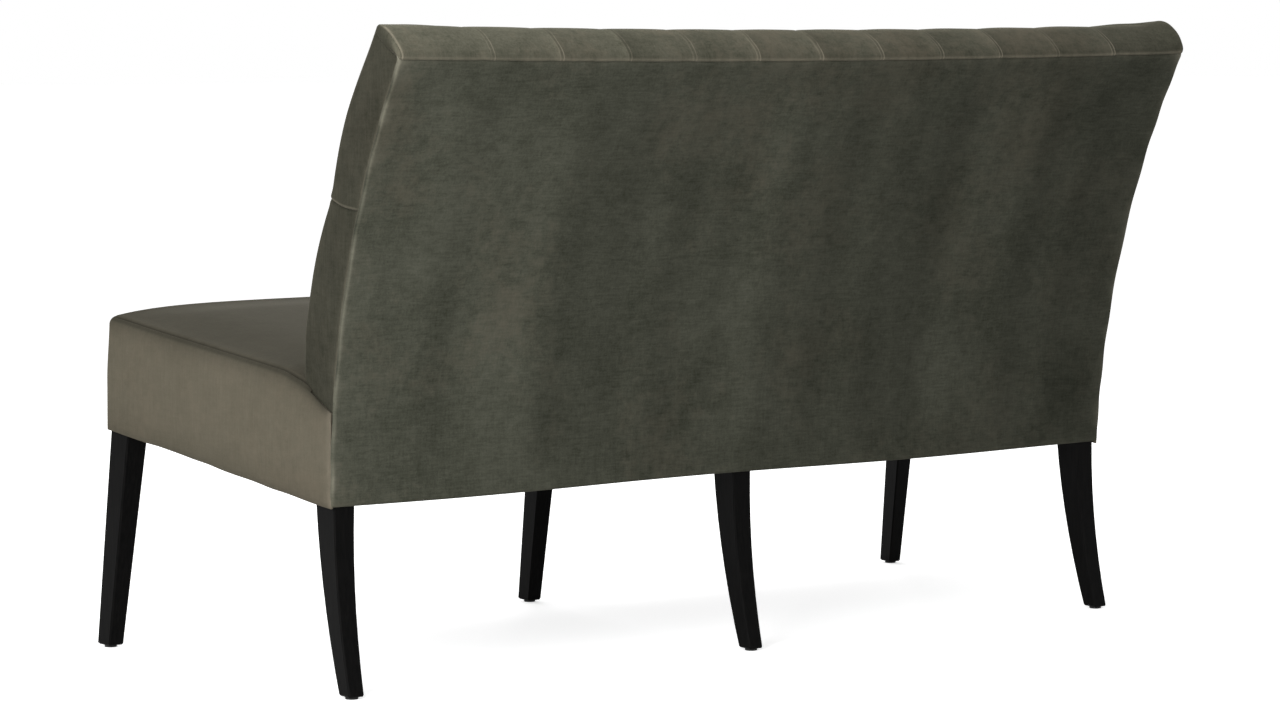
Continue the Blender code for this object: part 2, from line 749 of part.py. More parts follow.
def dust_cover(shop):
    """Black cloth under the rails, cut round the legs."""
    front = -SEAT_DEPTH + DUST_COVER_INSET
    rear = -DUST_COVER_INSET
    front_x = half_width(front) - DUST_COVER_INSET
    rear_x = half_width(rear) - DUST_COVER_INSET
    outline = [(-front_x, front), (front_x, front), (rear_x, rear), (-rear_x, rear)]

    def place(x, y, rise):
        return x, y, underside(y) + CLEARANCE + DUST_COVER_THICKNESS / 2 + rise

    item = shop.part("dust_cover", extruded(outline, DUST_COVER_THICKNESS, place), shop.cambric)
    front_leg_span = (FRONT_LEG_FACE, FRONT_LEG_BACK, front_leg_outer)
    rear_leg_span = (REAR_LEG_FRONT, REAR_LEG_FACE, post_outer)
    for index, (start, end, outer) in enumerate((front_leg_span, rear_leg_span)):
        middle_y = (start + end) / 2
        depth = end - start + 2 * CLEARANCE
        for side in (-1, 0, 1):
            run = side * (outer(end) - outer(start)) / (end - start)
            spot = (leg_middle(side, middle_y, outer), middle_y, underside(middle_y))
            width = LEG_WIDTH + 2 * CLEARANCE
            hole = box(spot, (width, 0, 0), (run * depth, depth, 0), (0, 0, 2 * CUTTER_OVERRUN))
            combine(item, shop.cutter(f"leg_hole_{index}_{side + 1}", hole), "DIFFERENCE")
    return item


def build():
    shop = Workshop()
    sides = {"left": 1, "middle": 0, "right": -1}
    crest = crest_rail(shop)
    fronts = {}
    posts = {}
    for word, side in sides.items():
        fronts[word] = front_leg(shop, f"front_leg_{word}", side)
        posts[word] = rear_post(shop, f"rear_post_{word}", side, crest)
        front_foot = FRONT_LEG_FACE - FRONT_LEG_RAKE + FRONT_FOOT_DEPTH / 2
        glide(shop, f"front_glide_{word}", side, front_leg_outer, front_foot)
        rear_foot = sabre_rear(FOOT_BASE) - REAR_FOOT_DEPTH / 2
        glide(shop, f"rear_glide_{word}", side, post_outer, rear_foot)
        if side == 0:
            middle = [fronts[word], posts[word]]
            ends = [(0, SEAT_END), (0, FRONT_LEG_BACK + CLEARANCE)]
            seat_rail(shop, "middle_rail", *ends, (1, 0, 0), TENON_LENGTH, middle)
    front_y = -SEAT_DEPTH + FRAME_INSET + RAIL_THICKNESS / 2
    rear_y = REAR_LEG_FACE - RAIL_THICKNESS / 2
    for word, side in (("left", 1), ("right", -1)):
        cross_rail(
            shop, f"front_rail_{word}", side, front_leg_outer, front_y, [fronts[word], fronts["middle"]]
        )
        cross_rail(
            shop, f"rear_rail_{word}", side, post_outer, rear_y, [posts[word], posts["middle"]]
        )
        long_rail(shop, f"side_rail_{word}", side, [fronts[word], posts[word]])
        lower_back_rail(shop, f"lower_back_rail_{word}", side, [posts[word], posts["middle"]])
        front_inner = front_y + RAIL_THICKNESS / 2
        rear_inner = rear_y - RAIL_THICKNESS / 2
        corner_block(shop, f"front_block_{word}", side, front_leg_outer, FRONT_LEG_BACK, front_inner, 1)
        corner_block(shop, f"rear_block_{word}", side, post_outer, REAR_LEG_FRONT, rear_inner, -1)
        for index, x in enumerate(strap_places(SEAT_STRAPS_PER_SIDE), 1):
            seat_strap(shop, f"seat_strap_{word}_{index}", side * x)
        for index, x in enumerate(strap_places(BACK_STRAPS_PER_SIDE), 1):
            back_strap(shop, f"back_strap_{word}_{index}", side * x)
    seat_foam(shop)
    seat_cover(shop)
    back_foam(shop)
    inside_back_cover(shop)
    outside_back_cover(shop)
    dust_cover(shop)


build()
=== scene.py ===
# %% [markdown]
# # An armless dining sofa, dressed over its frame
# The imported frame brings the legs, rails and glides at their true sizes. Everything soft is made here: the
# velvet seat, the deep-buttoned inside back, the flat outside back, the foam, the webbing and the dust
# cloth. The frame's box is kept.

# %% Load the frame
import math

import bpy
import numpy as np
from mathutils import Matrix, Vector


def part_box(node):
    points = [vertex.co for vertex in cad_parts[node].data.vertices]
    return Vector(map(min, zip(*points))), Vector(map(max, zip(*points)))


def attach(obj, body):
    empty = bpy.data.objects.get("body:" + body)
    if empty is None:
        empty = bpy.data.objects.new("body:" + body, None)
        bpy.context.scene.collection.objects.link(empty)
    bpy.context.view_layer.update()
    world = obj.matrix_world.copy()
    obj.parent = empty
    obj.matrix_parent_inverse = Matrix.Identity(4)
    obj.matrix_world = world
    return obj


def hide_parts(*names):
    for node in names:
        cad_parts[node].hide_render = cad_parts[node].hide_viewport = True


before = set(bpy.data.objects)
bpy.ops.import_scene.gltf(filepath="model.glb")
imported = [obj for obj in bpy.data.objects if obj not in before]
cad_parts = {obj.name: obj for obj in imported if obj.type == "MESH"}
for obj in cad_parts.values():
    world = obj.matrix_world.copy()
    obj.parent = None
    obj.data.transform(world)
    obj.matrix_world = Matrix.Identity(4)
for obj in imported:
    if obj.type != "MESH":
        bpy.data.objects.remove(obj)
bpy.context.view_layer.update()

# %% [markdown]
# ## The camera
# The photograph was taken from behind the sofa's left end with a long lens, almost level with the seat
# back. A long lens keeps the far legs nearly as tall as the near ones, so the camera stands well away.

# %% Camera
PICTURE_WIDTH = 1280
FOCAL_PIXELS = 3672
SENSOR_WIDTH = 36.0
CAMERA_PLACE = (3.211, 4.379, 0.879)
CAMERA_TILT = math.radians(85.02)
CAMERA_TURN = math.radians(144.12)

camera_data = bpy.data.cameras.new("camera")
camera_data.sensor_fit = "HORIZONTAL"
camera_data.sensor_width = SENSOR_WIDTH
camera_data.lens = FOCAL_PIXELS / PICTURE_WIDTH * SENSOR_WIDTH
camera = bpy.data.objects.new("camera", camera_data)
bpy.context.scene.collection.objects.link(camera)
camera.location = CAMERA_PLACE
camera.rotation_euler = (CAMERA_TILT, 0.0, CAMERA_TURN)
bpy.context.scene.camera = camera
print("camera lens", round(camera_data.lens, 2), "mm")

# %% [markdown]
# ## Writing finishes as sums
# A finish is a small web of shader nodes. Adding each node by hand hides the idea, so one class wraps a
# socket and lets plain Python sums add the Math nodes, and one method adds any other node.

# %% A socket that can be added and multiplied


class Value:
    """A shader value. Sums with it add Math nodes to its web."""

    def __init__(self, web, socket):
        self.web = web
        self.socket = socket

    def math(self, operation, first, second):
        return self.web.node("ShaderNodeMath", {"operation": operation}, {0: first, 1: second})

    def __add__(self, other):
        return self.math("ADD", self, other)

    def __sub__(self, other):
        return self.math("SUBTRACT", self, other)

    def __rsub__(self, other):
        return self.math("SUBTRACT", other, self)

    def __mul__(self, other):
        return self.math("MULTIPLY", self, other)

    __radd__ = __add__
    __rmul__ = __mul__


class Web:
    """A web of shader nodes."""

    def __init__(self, tree):
        self.tree = tree

    def node(self, kind, settings, inputs, output=0):
        """Adds a node, and gives back one of its outputs."""
        made = self.tree.nodes.new(kind)
        for key, value in settings.items():
            setattr(made, key, value)
        for key, value in inputs.items():
            self.join(made.inputs[key], value)
        return Value(self, made.outputs[output])

    def join(self, socket, value):
        """Links a value to a socket, or sets a constant on it."""
        if isinstance(value, Value):
            self.tree.links.new(value.socket, socket)
        else:
            socket.default_value = value


class Finish(Web):
    """A material: constants go straight onto its shader's sockets, and feed() links what varies."""

    def __init__(self, name, constants):
        self.material = bpy.data.materials.new(name)
        self.material.use_nodes = True
        super().__init__(self.material.node_tree)
        self.shader = self.tree.nodes["Principled BSDF"]
        for socket, value in constants.items():
            self.shader.inputs[socket].default_value = value

    def feed(self, socket, value):
        self.join(self.shader.inputs[socket], value)

    def place(self, scale=(1, 1, 1)):
        """Object coordinates in metres, stretched by scale."""
        spot = self.node("ShaderNodeTexCoord", {}, {}, "Object")
        return self.node("ShaderNodeMapping", {}, {"Vector": spot, "Scale": scale})

    def noise(self, scale, detail=2.0, roughness=0.5, stretch=(1, 1, 1)):
        inputs = {"Vector": self.place(stretch), "Scale": scale, "Detail": detail, "Roughness": roughness}
        return self.node("ShaderNodeTexNoise", {}, inputs)

    def attribute(self, name):
        """A value that is stored on the points of a piece."""
        return self.node("ShaderNodeAttribute", {"attribute_name": name}, {}, "Fac")

    def between(self, value, low, high):
        """The value run from 0 at low to 1 at high, and held there."""
        inputs = {"Value": value, "From Min": low, "From Max": high}
        return self.node("ShaderNodeMapRange", {"clamp": True}, inputs)

    def blend(self, factor, first, second):
        """A colour between two colours, which are the Mix node's sockets 6 and 7 and its output 2."""
        inputs = {0: factor, 6: first, 7: second}
        return self.node("ShaderNodeMix", {"data_type": "RGBA"}, inputs, 2)

    def bump(self, height, strength, distance):
        inputs = {"Height": height, "Strength": strength, "Distance": distance}
        self.feed("Normal", self.node("ShaderNodeBump", {}, inputs))


print("finish tools ready")

# %% [markdown]
# ## Velvet
# Velvet is a short dense pile on a woven ground. Where the pile leans one way it looks dark, where it leans
# the other way it looks pale, so the colour is mottled: hand-sized patches, faint threads both ways and a
# fine grain. Attributes on each piece say the rest. The first scales each face's colour, partly for the
# pile's lean and partly as painted light and shade: paler or darker by how the light falls on that face,
# with painted shade in grooves and turned-in edges. The second is painted highlight along seams, edges,
# fold crests and button tops. The third is where the pleats of the buttoning run over the top, with two
# thin pale lines of painted highlight beside each. The shader's sheen makes edges glow as well.

# %% Velvet
VELVET_DARK = (0.030, 0.031, 0.022)
VELVET_LIGHT = (0.082, 0.081, 0.062)
VELVET_WARM = (0.088, 0.076, 0.056)
# The pale colour of the painted highlights.
VELVET_HIGHLIGHT = (0.180, 0.166, 0.128)
BUTTON_PITCH = 0.110
# Each fold's two pale lines of painted highlight: how far beside the fold, and how pale.
FOLD_HIGHLIGHTS = ((-0.0040, 0.34), (0.0015, 0.62))


def velvet(name, threads, cross, contrast, tint, warmest):
    """A velvet finish: threads and cross say how fine its two sets of threads are along X, Y and Z."""
    dark, light, warm, highlight_colour = (
        (*np.multiply(colour, tint), 1) for colour in (VELVET_DARK, VELVET_LIGHT, VELVET_WARM, VELVET_HIGHLIGHT)
    )
    pile = {"Roughness": 0.9, "Sheen Weight": 0.12, "Sheen Roughness": 0.35, "Specular IOR Level": 0.03}
    pile["Sheen Tint"] = (0.62, 0.58, 0.46, 1.0)
    finish = Finish(name, pile)
    patches = finish.noise(8.0, 5.0, 0.65)
    blotches = finish.noise(55.0, 4.0, 0.7)
    weave = finish.noise(1.0, 2.0, 0.6, threads)
    strokes = finish.noise(1.0, 2.0, 0.6, cross)
    grain = finish.noise(430.0, 2.0, 0.7)
    depth = patches * 0.40 + blotches * 0.22 + weave * 0.26 + strokes * 0.16 + grain * 0.24
    shade = finish.blend(finish.between(depth, 0.65 - contrast, 0.65 + contrast), dark, light)
    warmth = finish.between(finish.noise(5.0, 3.0) * 0.6 + blotches * 0.4, 0.50, 0.68)
    warmth = warmth * (warmest[1] - warmest[0]) + warmest[0]
    # Painted light and shade: the colour is scaled by a value on each point, partly the pile's lean and
    # partly how light falls there. Paler faces also get more of the warm tone.
    pile_and_painted_light = finish.attribute("pile_and_painted_light")
    shade = finish.blend(warmth * finish.between(pile_and_painted_light, 0.4, 1.1), shade, warm)
    shade = finish.node("ShaderNodeVectorMath", {"operation": "SCALE"}, {"Vector": shade, "Scale": pile_and_painted_light})
    # Painted highlights: pale along seams, edges and button tops, and in two thin lines beside each fold, in
    # uneven patches.
    painted_highlight = finish.attribute("painted_highlight")
    folds = finish.attribute("folds")
    across = finish.node("ShaderNodeSeparateXYZ", {}, {"Vector": finish.place()}) + finish.noise(26.0) * 0.007
    fold_highlight_patches = finish.between(patches, 0.36, 0.56) * 0.8 + 0.3
    for shift, paleness in FOLD_HIGHLIGHTS:
        nearest = across.math("PINGPONG", across + shift, BUTTON_PITCH / 2)
        painted_highlight = painted_highlight + folds * (1.0 - finish.between(nearest, 0.0004, 0.0014)) * fold_highlight_patches * paleness
    highlight_mask = finish.between(painted_highlight * (blotches * 1.6 + patches * 0.8 - 0.2), 0.0, 1.0)
    finish.feed("Base Color", finish.blend(highlight_mask, shade, highlight_colour))
    finish.bump(weave * 0.5 + blotches * 0.3 + grain * 0.2, 0.4, 0.0010)
    return finish.material


panel_velvet = velvet("panel_velvet", (46, 46, 330), (300, 300, 40), 0.18, (0.91, 0.94, 0.94), (0.0, 0.55))
seat_velvet = velvet("seat_velvet", (300, 300, 24), (40, 40, 260), 0.40, (1.03, 0.97, 0.96), (0.25, 0.45))
back_velvet = velvet("back_velvet", (280, 280, 30), (40, 40, 260), 0.20, (1.0, 0.98, 0.96), (0.0, 0.55))
print("velvets:", panel_velvet.name, seat_velvet.name, back_velvet.name)

# %% [markdown]
# ## Wood, webbing, foam, dust cloth and glides
# The legs are stained black under a satin lacquer: the grain only shows as fine streaks in the gloss. The
# hidden frame is bare hardwood. Webbing is a coarse plain weave, foam is full of small cells, dust cloth is
# a bonded felt.

# %% Black stained wood
BLACK_DARK = (0.0016, 0.0016, 0.0016, 1)
BLACK_LIGHT = (0.0046, 0.0043, 0.0041, 1)

black = Finish("black_stained_wood", {"Specular IOR Level": 0.04})
grain = black.noise(60.0, 5.0, 0.6, (6.0, 6.0, 0.35))
pores = black.noise(400.0, 2.0, 0.6, (2.0, 2.0, 0.08))
black.feed("Base Color", black.blend(black.between(grain, 0.35, 0.75), BLACK_DARK, BLACK_LIGHT))
black.feed("Roughness", 0.34 + 0.22 * pores)
black.bump(grain * 0.5 + pores * 0.5, 0.25, 0.0006)
print("made", black.material.name)

# %% Bare hardwood
WOOD_DARK = (0.40, 0.25, 0.13, 1)
WOOD_LIGHT = (0.60, 0.43, 0.26, 1)

hardwood = Finish("frame_hardwood", {"Specular IOR Level": 0.3})
rings = hardwood.noise(14.0, 6.0, 0.6, (0.4, 3.0, 3.0))
fibre = hardwood.noise(220.0, 3.0, 0.6, (0.1, 1.0, 1.0))
hardwood.feed("Base Color", hardwood.blend(rings * 0.7 + fibre * 0.3, WOOD_DARK, WOOD_LIGHT))
hardwood.feed("Roughness", 0.55 + 0.2 * fibre)
hardwood.bump(fibre, 0.3, 0.0005)
print("made", hardwood.material.name)

# %% Webbing, foam, dust cloth and nylon


def woven(name, dark, light, threads):
    """A plain weave: two sets of waves crossing, with painted shade darkening the colour between the threads.
    """
    finish = Finish(name, {"Roughness": 0.9, "Sheen Weight": 0.2})
    inputs = {"Vector": finish.place(), "Scale": threads}
    across = finish.node("ShaderNodeTexWave", {"bands_direction": "X"}, inputs)
    up = finish.node("ShaderNodeTexWave", {"bands_direction": "Y"}, inputs)
    fuzz = finish.noise(300.0, 2.0)
    weave = across * 0.4 + up * 0.4 + fuzz * 0.3
    finish.feed("Base Color", finish.blend(finish.between(weave, 0.2, 0.9), (*dark, 1), (*light, 1)))
    finish.bump(weave, 0.5, 0.0006)
    return finish.material


def cellular(name, dark, light, scale, rough):
    """A material of fine cells or fibres."""
    finish = Finish(name, {"Specular IOR Level": 0.2})
    cells = finish.noise(scale, 4.0, 0.7)
    finish.feed("Base Color", finish.blend(finish.between(cells, 0.3, 0.7), (*dark, 1), (*light, 1)))
    finish.feed("Roughness", rough + 0.1 * cells)
    finish.bump(cells, 0.4, 0.0006)
    return finish.material


webbing = woven("webbing", (0.16, 0.13, 0.09), (0.38, 0.33, 0.25), 90.0)
foam = cellular("foam", (0.62, 0.54, 0.34), (0.86, 0.78, 0.56), 450.0, 0.85)
dust_cloth = cellular("dust_cloth", (0.006, 0.006, 0.007), (0.022, 0.022, 0.024), 700.0, 0.85)
nylon = cellular("nylon", (0.020, 0.020, 0.020), (0.035, 0.035, 0.034), 250.0, 0.40)
thread = cellular("thread", (0.050, 0.048, 0.036), (0.110, 0.104, 0.080), 1200.0, 0.75)
print("made", [m.name for m in (webbing, foam, dust_cloth, nylon, thread)])

# %% Finishes on the frame's own nodes
for name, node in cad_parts.items():
    if "leg" in name or "post" in name:
        own = black.material
    elif "glide" in name:
        own = nylon
    else:
        own = hardwood.material
    node.data.materials.clear()
    node.data.materials.append(own)
print("finished", len(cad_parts), "frame nodes")

# %% [markdown]
# ## The shape of the sofa
# The soft pieces follow the same lines as the frame: a seat box that widens and rises towards the front,
# and a back whose rear face is an arc. A point of the back is given by its length along that arc and its
# depth forwards. Working with whole arrays of points keeps each rule to one line.

# %% Lines of the frame
# In metres. Lengths along the arc start at the bend, where the back begins to lean.
REAR_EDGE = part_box("outside_back_cover")[0][1] + 0.003
HALF_REAR = 0.690
SEAT_DEPTH = 0.528
SIDE_FLARE = 0.060 / SEAT_DEPTH
SEAT_SLOPE = 0.064 / SEAT_DEPTH
REAR_UNDERSIDE = 0.258
BOX_HEIGHT = 0.162
SEAT_CROWN = 0.0165
BEND_HEIGHT = 0.280
LEAN = math.radians(3.0)
ARC_RADIUS = 1.250
SEAM = 0.605
DEPTH_LOW = 0.094
DEPTH_HIGH = 0.080
CREASE = 0.136
ROLL_HEIGHT = 0.0124
ROLL_SLANT = 0.0020
SEAM_RISE = 0.0060
SEAM_SLANT = 0.0028


def half_width(y):
    return HALF_REAR + SIDE_FLARE * np.maximum(0.0, -y)


def underside(y):
    return REAR_UNDERSIDE - SEAT_SLOPE * y


def seat_edge(y):
    return underside(y) + BOX_HEIGHT


def arc_point(along, depth):
    """(y, z) of points of the back, y counted from the lower rear edge."""
    angle = np.where(along < 0, 0.0, LEAN + along / ARC_RADIUS)
    turn = np.maximum(angle, LEAN)
    y = ARC_RADIUS * (math.cos(LEAN) - np.cos(turn)) - depth * np.cos(angle)
    z = BEND_HEIGHT + np.minimum(along, 0) + depth * np.sin(angle)
    return y, z + ARC_RADIUS * (np.sin(turn) - math.sin(LEAN))


def depth_line(along):
    """Depth of the back's front, which thins from the seat to the seam."""
    return DEPTH_LOW + (DEPTH_HIGH - DEPTH_LOW) * np.clip((along - CREASE) / (SEAM - CREASE), 0, 1)


def along_at(height):
    """How far along the arc the back's front reaches a height, closed in on in four steps."""
    along = np.full(len(height), CREASE)
    for _ in range(4):
        along = along + height - arc_point(along, DEPTH_LOW)[1]
    return along


def smooth(value, low, high):
    """Runs from 0 at low to 1 at high, level at both ends."""
    share = np.clip((value - low) / (high - low), 0.0, 1.0)
    return share * share * (3 - 2 * share)


def bell(value, middle, width):
    """1 at the middle, and falling away on both sides of it."""
    return np.exp(-(((value - middle) / width) ** 2))


print("lower rear edge at y =", round(REAR_EDGE, 4))

# %% Tools for a new piece


def deselect():
    """Leaves edit mode, with nothing selected."""
    if bpy.context.mode != "OBJECT":
        bpy.ops.object.mode_set(mode="OBJECT")
    bpy.ops.object.select_all(action="DESELECT")


def choose(piece):
    """Makes a piece the only selected one, and the active one."""
    deselect()
    piece.select_set(True)
    bpy.context.view_layer.objects.active = piece


def grid(name, columns, rows):
    """A flat grid with its corners at 0 and 1, and the column and row of each of its points."""
    deselect()
    bpy.ops.mesh.primitive_grid_add(
        x_subdivisions=columns, y_subdivisions=rows, size=1, location=(0.5, 0.5, 0)
    )
    piece = bpy.context.object
    piece.name = piece.data.name = name
    bpy.ops.object.transform_apply(location=True, rotation=True, scale=True)
    column, row = np.round(points_of(piece)[:, :2] * (columns, rows)).astype(int).T
    return piece, column, row


def points_of(piece):
    spots = np.empty(len(piece.data.vertices) * 3)
    piece.data.vertices.foreach_get("co", spots)
    return spots.reshape(-1, 3)


def move_points(piece, x, y, z):
    """Puts the points at these places, y counted from the lower rear edge."""
    spots = np.stack([x, y + REAR_EDGE, z], axis=1)
    piece.data.vertices.foreach_set("co", spots.ravel())
    piece.data.update()


def paint_light_and_pile(piece, pile_and_painted_light, painted_highlight, folds=0.0):
    """Writes what the velvet reads: a colour scale, partly the pile's lean and partly painted light and
    shade, the painted highlights, and where folds run.
    """
    for name, amount in (("pile_and_painted_light", pile_and_painted_light), ("painted_highlight", np.clip(painted_highlight, 0, 1)), ("folds", folds)):
        layer = piece.data.attributes.new(name, "FLOAT", "POINT")
        layer.data.foreach_set("value", (np.zeros(len(piece.data.vertices)) + amount).astype(np.float32))


def apply_modifier(piece, kind, **settings):
    choose(piece)
    modifier = piece.modifiers.new(kind.lower(), kind)
    for key, value in settings.items():
        setattr(modifier, key, value)
    bpy.ops.object.modifier_apply(modifier=modifier.name)


def tidy_mesh(piece, merge=1e-5):
    """Merges doubled points, turns the faces outwards and shades them smooth."""
    choose(piece)
    bpy.ops.object.mode_set(mode="EDIT")
    bpy.ops.mesh.select_all(action="SELECT")
    bpy.ops.mesh.remove_doubles(threshold=merge)
    bpy.ops.mesh.dissolve_degenerate(threshold=1e-6)
    bpy.ops.mesh.normals_make_consistent(inside=False)
    bpy.ops.object.mode_set(mode="OBJECT")
    bpy.ops.object.shade_smooth()


def thicken(piece, thickness, offset=-1.0):
    """Gives a sheet its thickness and cleans its mesh."""
    apply_modifier(piece, "SOLIDIFY", thickness=thickness, offset=offset)
    tidy_mesh(piece)


def keep(piece, material, slot, *nodes):
    """Gives a finished piece its material and hides the nodes that it stands for. The slot is not used."""
    piece.data.materials.clear()
    piece.data.materials.append(material)
    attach(piece, "root")
    if nodes:
        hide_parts(*nodes)
    print(piece.name, len(piece.data.polygons), "faces")


print("tools ready")

# %% [markdown]
# ## Swelling a cover
# A stuffed cover is pushed out from below and held where it is sewn. Blender's cloth does that: the held
# points are pinned, a gentle pressure stands for the stuffing, and twenty frames are enough. No point may
# move further than a cap, so the outline stays where the formula put it.

# %% Cloth for a stuffed cover
CLOTH_FRAMES = 20
HELD_BELOW = 0.05


def swell(piece, free, cap, pressure):
    """Swells a cover by cap at most where free is 1, and holds it where free is 0."""
    before = points_of(piece)
    held = piece.vertex_groups.new(name="held")
    held.add(np.flatnonzero(free < HELD_BELOW).tolist(), 1.0, "REPLACE")
    cloth = piece.modifiers.new("cloth", "CLOTH")
    cloth.settings.vertex_group_mass = held.name
    cloth.settings.use_pressure = True
    cloth.settings.uniform_pressure_force = pressure
    cloth.settings.effector_weights.gravity = 0.0
    cloth.collision_settings.use_collision = False
    for step in range(1, CLOTH_FRAMES + 1):
        bpy.context.scene.frame_set(step)
    choose(piece)
    bpy.ops.object.modifier_apply(modifier=cloth.name)
    bpy.context.scene.frame_set(1)
    piece.vertex_groups.clear()
    shift = points_of(piece) - before
    moved = np.linalg.norm(shift, axis=1, keepdims=True)
    shift = shift * cap * np.tanh(moved / cap) / np.maximum(moved, 1e-9) * free[:, None]
    piece.data.vertices.foreach_set("co", (before + shift).ravel())
    piece.data.update()
    print(piece.name, "swelled by up to", round(1000 * np.linalg.norm(shift, axis=1).max(), 1), "mm")


print("cloth tool ready")

# %% [markdown]
# ## The outside back
# One flat width of velvet closes the back from behind. It is pulled tight from the seam under the top roll
# down to the underside, and its edges are turned in along both sides and below, so the sheet here is a
# little larger than the back and its last rows curl forwards, with rows and columns set close together
# there. Tight cloth is never quite flat: it gets shallow waves, and small puckers where it is sewn.

# %% Outside back: the sheet
TURN = 0.0022
PANEL_COLUMNS = 236
PANEL_ROWS = 116
AT_EDGE = 8
PANEL_PROUD = 0.0012
PANEL_THICKNESS = 0.0015
SIDE_ALLOWANCE = 0.0022
SEAM_ALLOWANCE = 0.006
HEM_ALLOWANCE = 0.010
TOP_SAG = 0.008
SAG_START = 0.2
SIDE_BULGE = 0.0032


def sag(x):
    """How far the top line hangs below the frame's. It rises towards the sitter's right."""
    return TOP_SAG * (1 - (x / HALF_REAR) ** 2) - SEAM_RISE + SEAM_SLANT * x / HALF_REAR


def sagged(x, along):
    """Lengths along the arc, less what the sagging top line takes off towards the seam."""
    return along - sag(x) * smooth(along, SAG_START, SEAM)


def bulge(along):
    """How far the soft sides stand out beyond the frame: most at half height."""
    return SIDE_BULGE * np.sin(np.pi * np.clip((along + 0.02) / 0.60, 0, 1))


def curl(distance, radius):
    """(outwards, inwards) of a sheet that runs flat to its edge and then turns round it."""
    over = np.clip(distance / radius, 0, math.pi / 2)
    tail = np.maximum(0, distance - radius * math.pi / 2)
    return np.minimum(distance, 0) + radius * np.sin(over), radius * (1 - np.cos(over)) + tail


panel, column, row = grid("outside_back", PANEL_COLUMNS, PANEL_ROWS)
side_reach = HALF_REAR + SIDE_ALLOWANCE
bottom = REAR_UNDERSIDE - BEND_HEIGHT - HEM_ALLOWANCE
from_edge = HALF_REAR - 0.006
x_stops = [-side_reach, -from_edge, from_edge, side_reach]
x_flat = np.interp(column, [0, AT_EDGE, PANEL_COLUMNS - AT_EDGE, PANEL_COLUMNS], x_stops)
along_stops = [bottom, bottom + 0.018, SEAM - 0.010, SEAM + SEAM_ALLOWANCE]
along_flat = np.interp(row, [0, AT_EDGE, PANEL_ROWS - AT_EDGE, PANEL_ROWS], along_stops)
out_x, in_x = curl(np.abs(x_flat) - (HALF_REAR - TURN), TURN)
x = np.sign(x_flat) * (HALF_REAR - TURN + out_x) * (1 + (PANEL_PROUD + bulge(along_flat)) / HALF_REAR)
lower_edge = REAR_UNDERSIDE - BEND_HEIGHT + TURN
out_low, in_low = curl(lower_edge - along_flat, TURN)
along = sagged(x, lower_edge - out_low)
in_top = 0.006 * smooth(along_flat, SEAM - 0.007, SEAM + 0.004)
edge = np.minimum(np.minimum(HALF_REAR - np.abs(x), SEAM - along), along - bottom)
print(panel.name, len(x), "points")

# %% Outside back: waves and puckers
held = smooth(edge, 0.0, 0.08)
waves = 0.0022 * np.sin(9.3 * x + 0.7) * np.sin(5.1 * along + 1.9)
waves = waves + 0.0012 * np.sin(23.0 * x + 2.0 * along)
from_seam = SEAM - sag(x) - along
gathers = np.sin(95.0 * x + 3.0 * np.sin(17.0 * x))
pucker = gathers * np.exp(-from_seam / 0.022) * smooth(from_seam, 0.0, 0.006)
side_pull = np.sin(70.0 * along + 2.0 * np.sin(11.0 * along)) * np.exp(-(HALF_REAR - np.abs(x)) / 0.016)
lift = held * waves + 0.0011 * pucker + 0.0007 * side_pull
y, z = arc_point(along, in_x + in_low + in_top - lift - PANEL_PROUD)
z = z + 0.0015 * np.sin(8.0 * x + 1.0) * (along < 0.05) * smooth(along, 0.05, bottom)
move_points(panel, x, y, z)
# Painted highlights: pale, uneven lines along the turned side edges, at the seam, the upper corners and the
# hem.
at_side = np.abs(np.abs(x_flat) - HALF_REAR + 0.001)
at_corner = np.hypot(at_side, np.maximum(0, from_seam))
ragged = 0.55 + 0.30 * np.sin(41.0 * along + 2.0 * np.sin(23.0 * along)) + 0.25 * np.sin(97.0 * along + x)
painted_highlight = ragged * (0.50 * np.exp(-at_side / 0.0022) + 0.26 * np.exp(-at_side / 0.010))
painted_highlight = painted_highlight + 0.3 * np.exp(-np.abs(from_seam) / 0.004) + 0.5 * np.exp(-at_corner / 0.012)
painted_highlight = painted_highlight + 0.3 * np.exp(-(along_flat - bottom) / 0.006)
# Painted shade where the sheet turns in round the sides above the seat, and painted light that pales it
# towards the sitter's left, where the side lamp stands. The faint streaks are the pile's own tone.
turned_in_shade = 0.4 * (in_x > 0.0005) * (along > 0.14)
streaks = 0.10 * np.sin(14.0 * x + 1.1) + 0.07 * np.sin(31.0 * x + 0.4 + 1.5 * along)
streaks = streaks + 0.05 * np.sin(67.0 * x)
pile_and_painted_light = (1.0 + 0.24 * x / HALF_REAR + streaks * smooth(edge, 0.0, 0.1)) * (1 - turned_in_shade)
paint_light_and_pile(panel, pile_and_painted_light, painted_highlight)
thicken(panel, PANEL_THICKNESS)
keep(panel, panel_velvet, "velvet", "outside_back_cover")

# %% [markdown]
# ## The inside back
# The inside back is deep buttoned. Thirty-four buttons on a diamond grid pull the velvet into the foam, and
# the spare cloth between them folds along the diamonds' sides. Above the top row each fold runs straight up
# and over the roll to the seam behind, and below the lowest row it runs down into the seat. At each end a
# single fold runs round the side at the middle row. All of that is one formula: a sum of two cosines is
# zero along exactly those lines, and a power of it gives the puffed profile between them.

# %% Inside back: the buttoning
ROW_PITCH = 0.115
MIDDLE_ROW = 0.374
OUTER_BUTTON = 5.5
PUFF = 0.027
SINK = 0.006
BUTTON_SINK = 0.009
CREASE_DEPTH = 0.0016
PLEATS_END = 0.60
TOP_EASES = MIDDLE_ROW + ROW_PITCH * 0.9
END_RISE = 0.0115
BACK_THICKNESS = 0.002


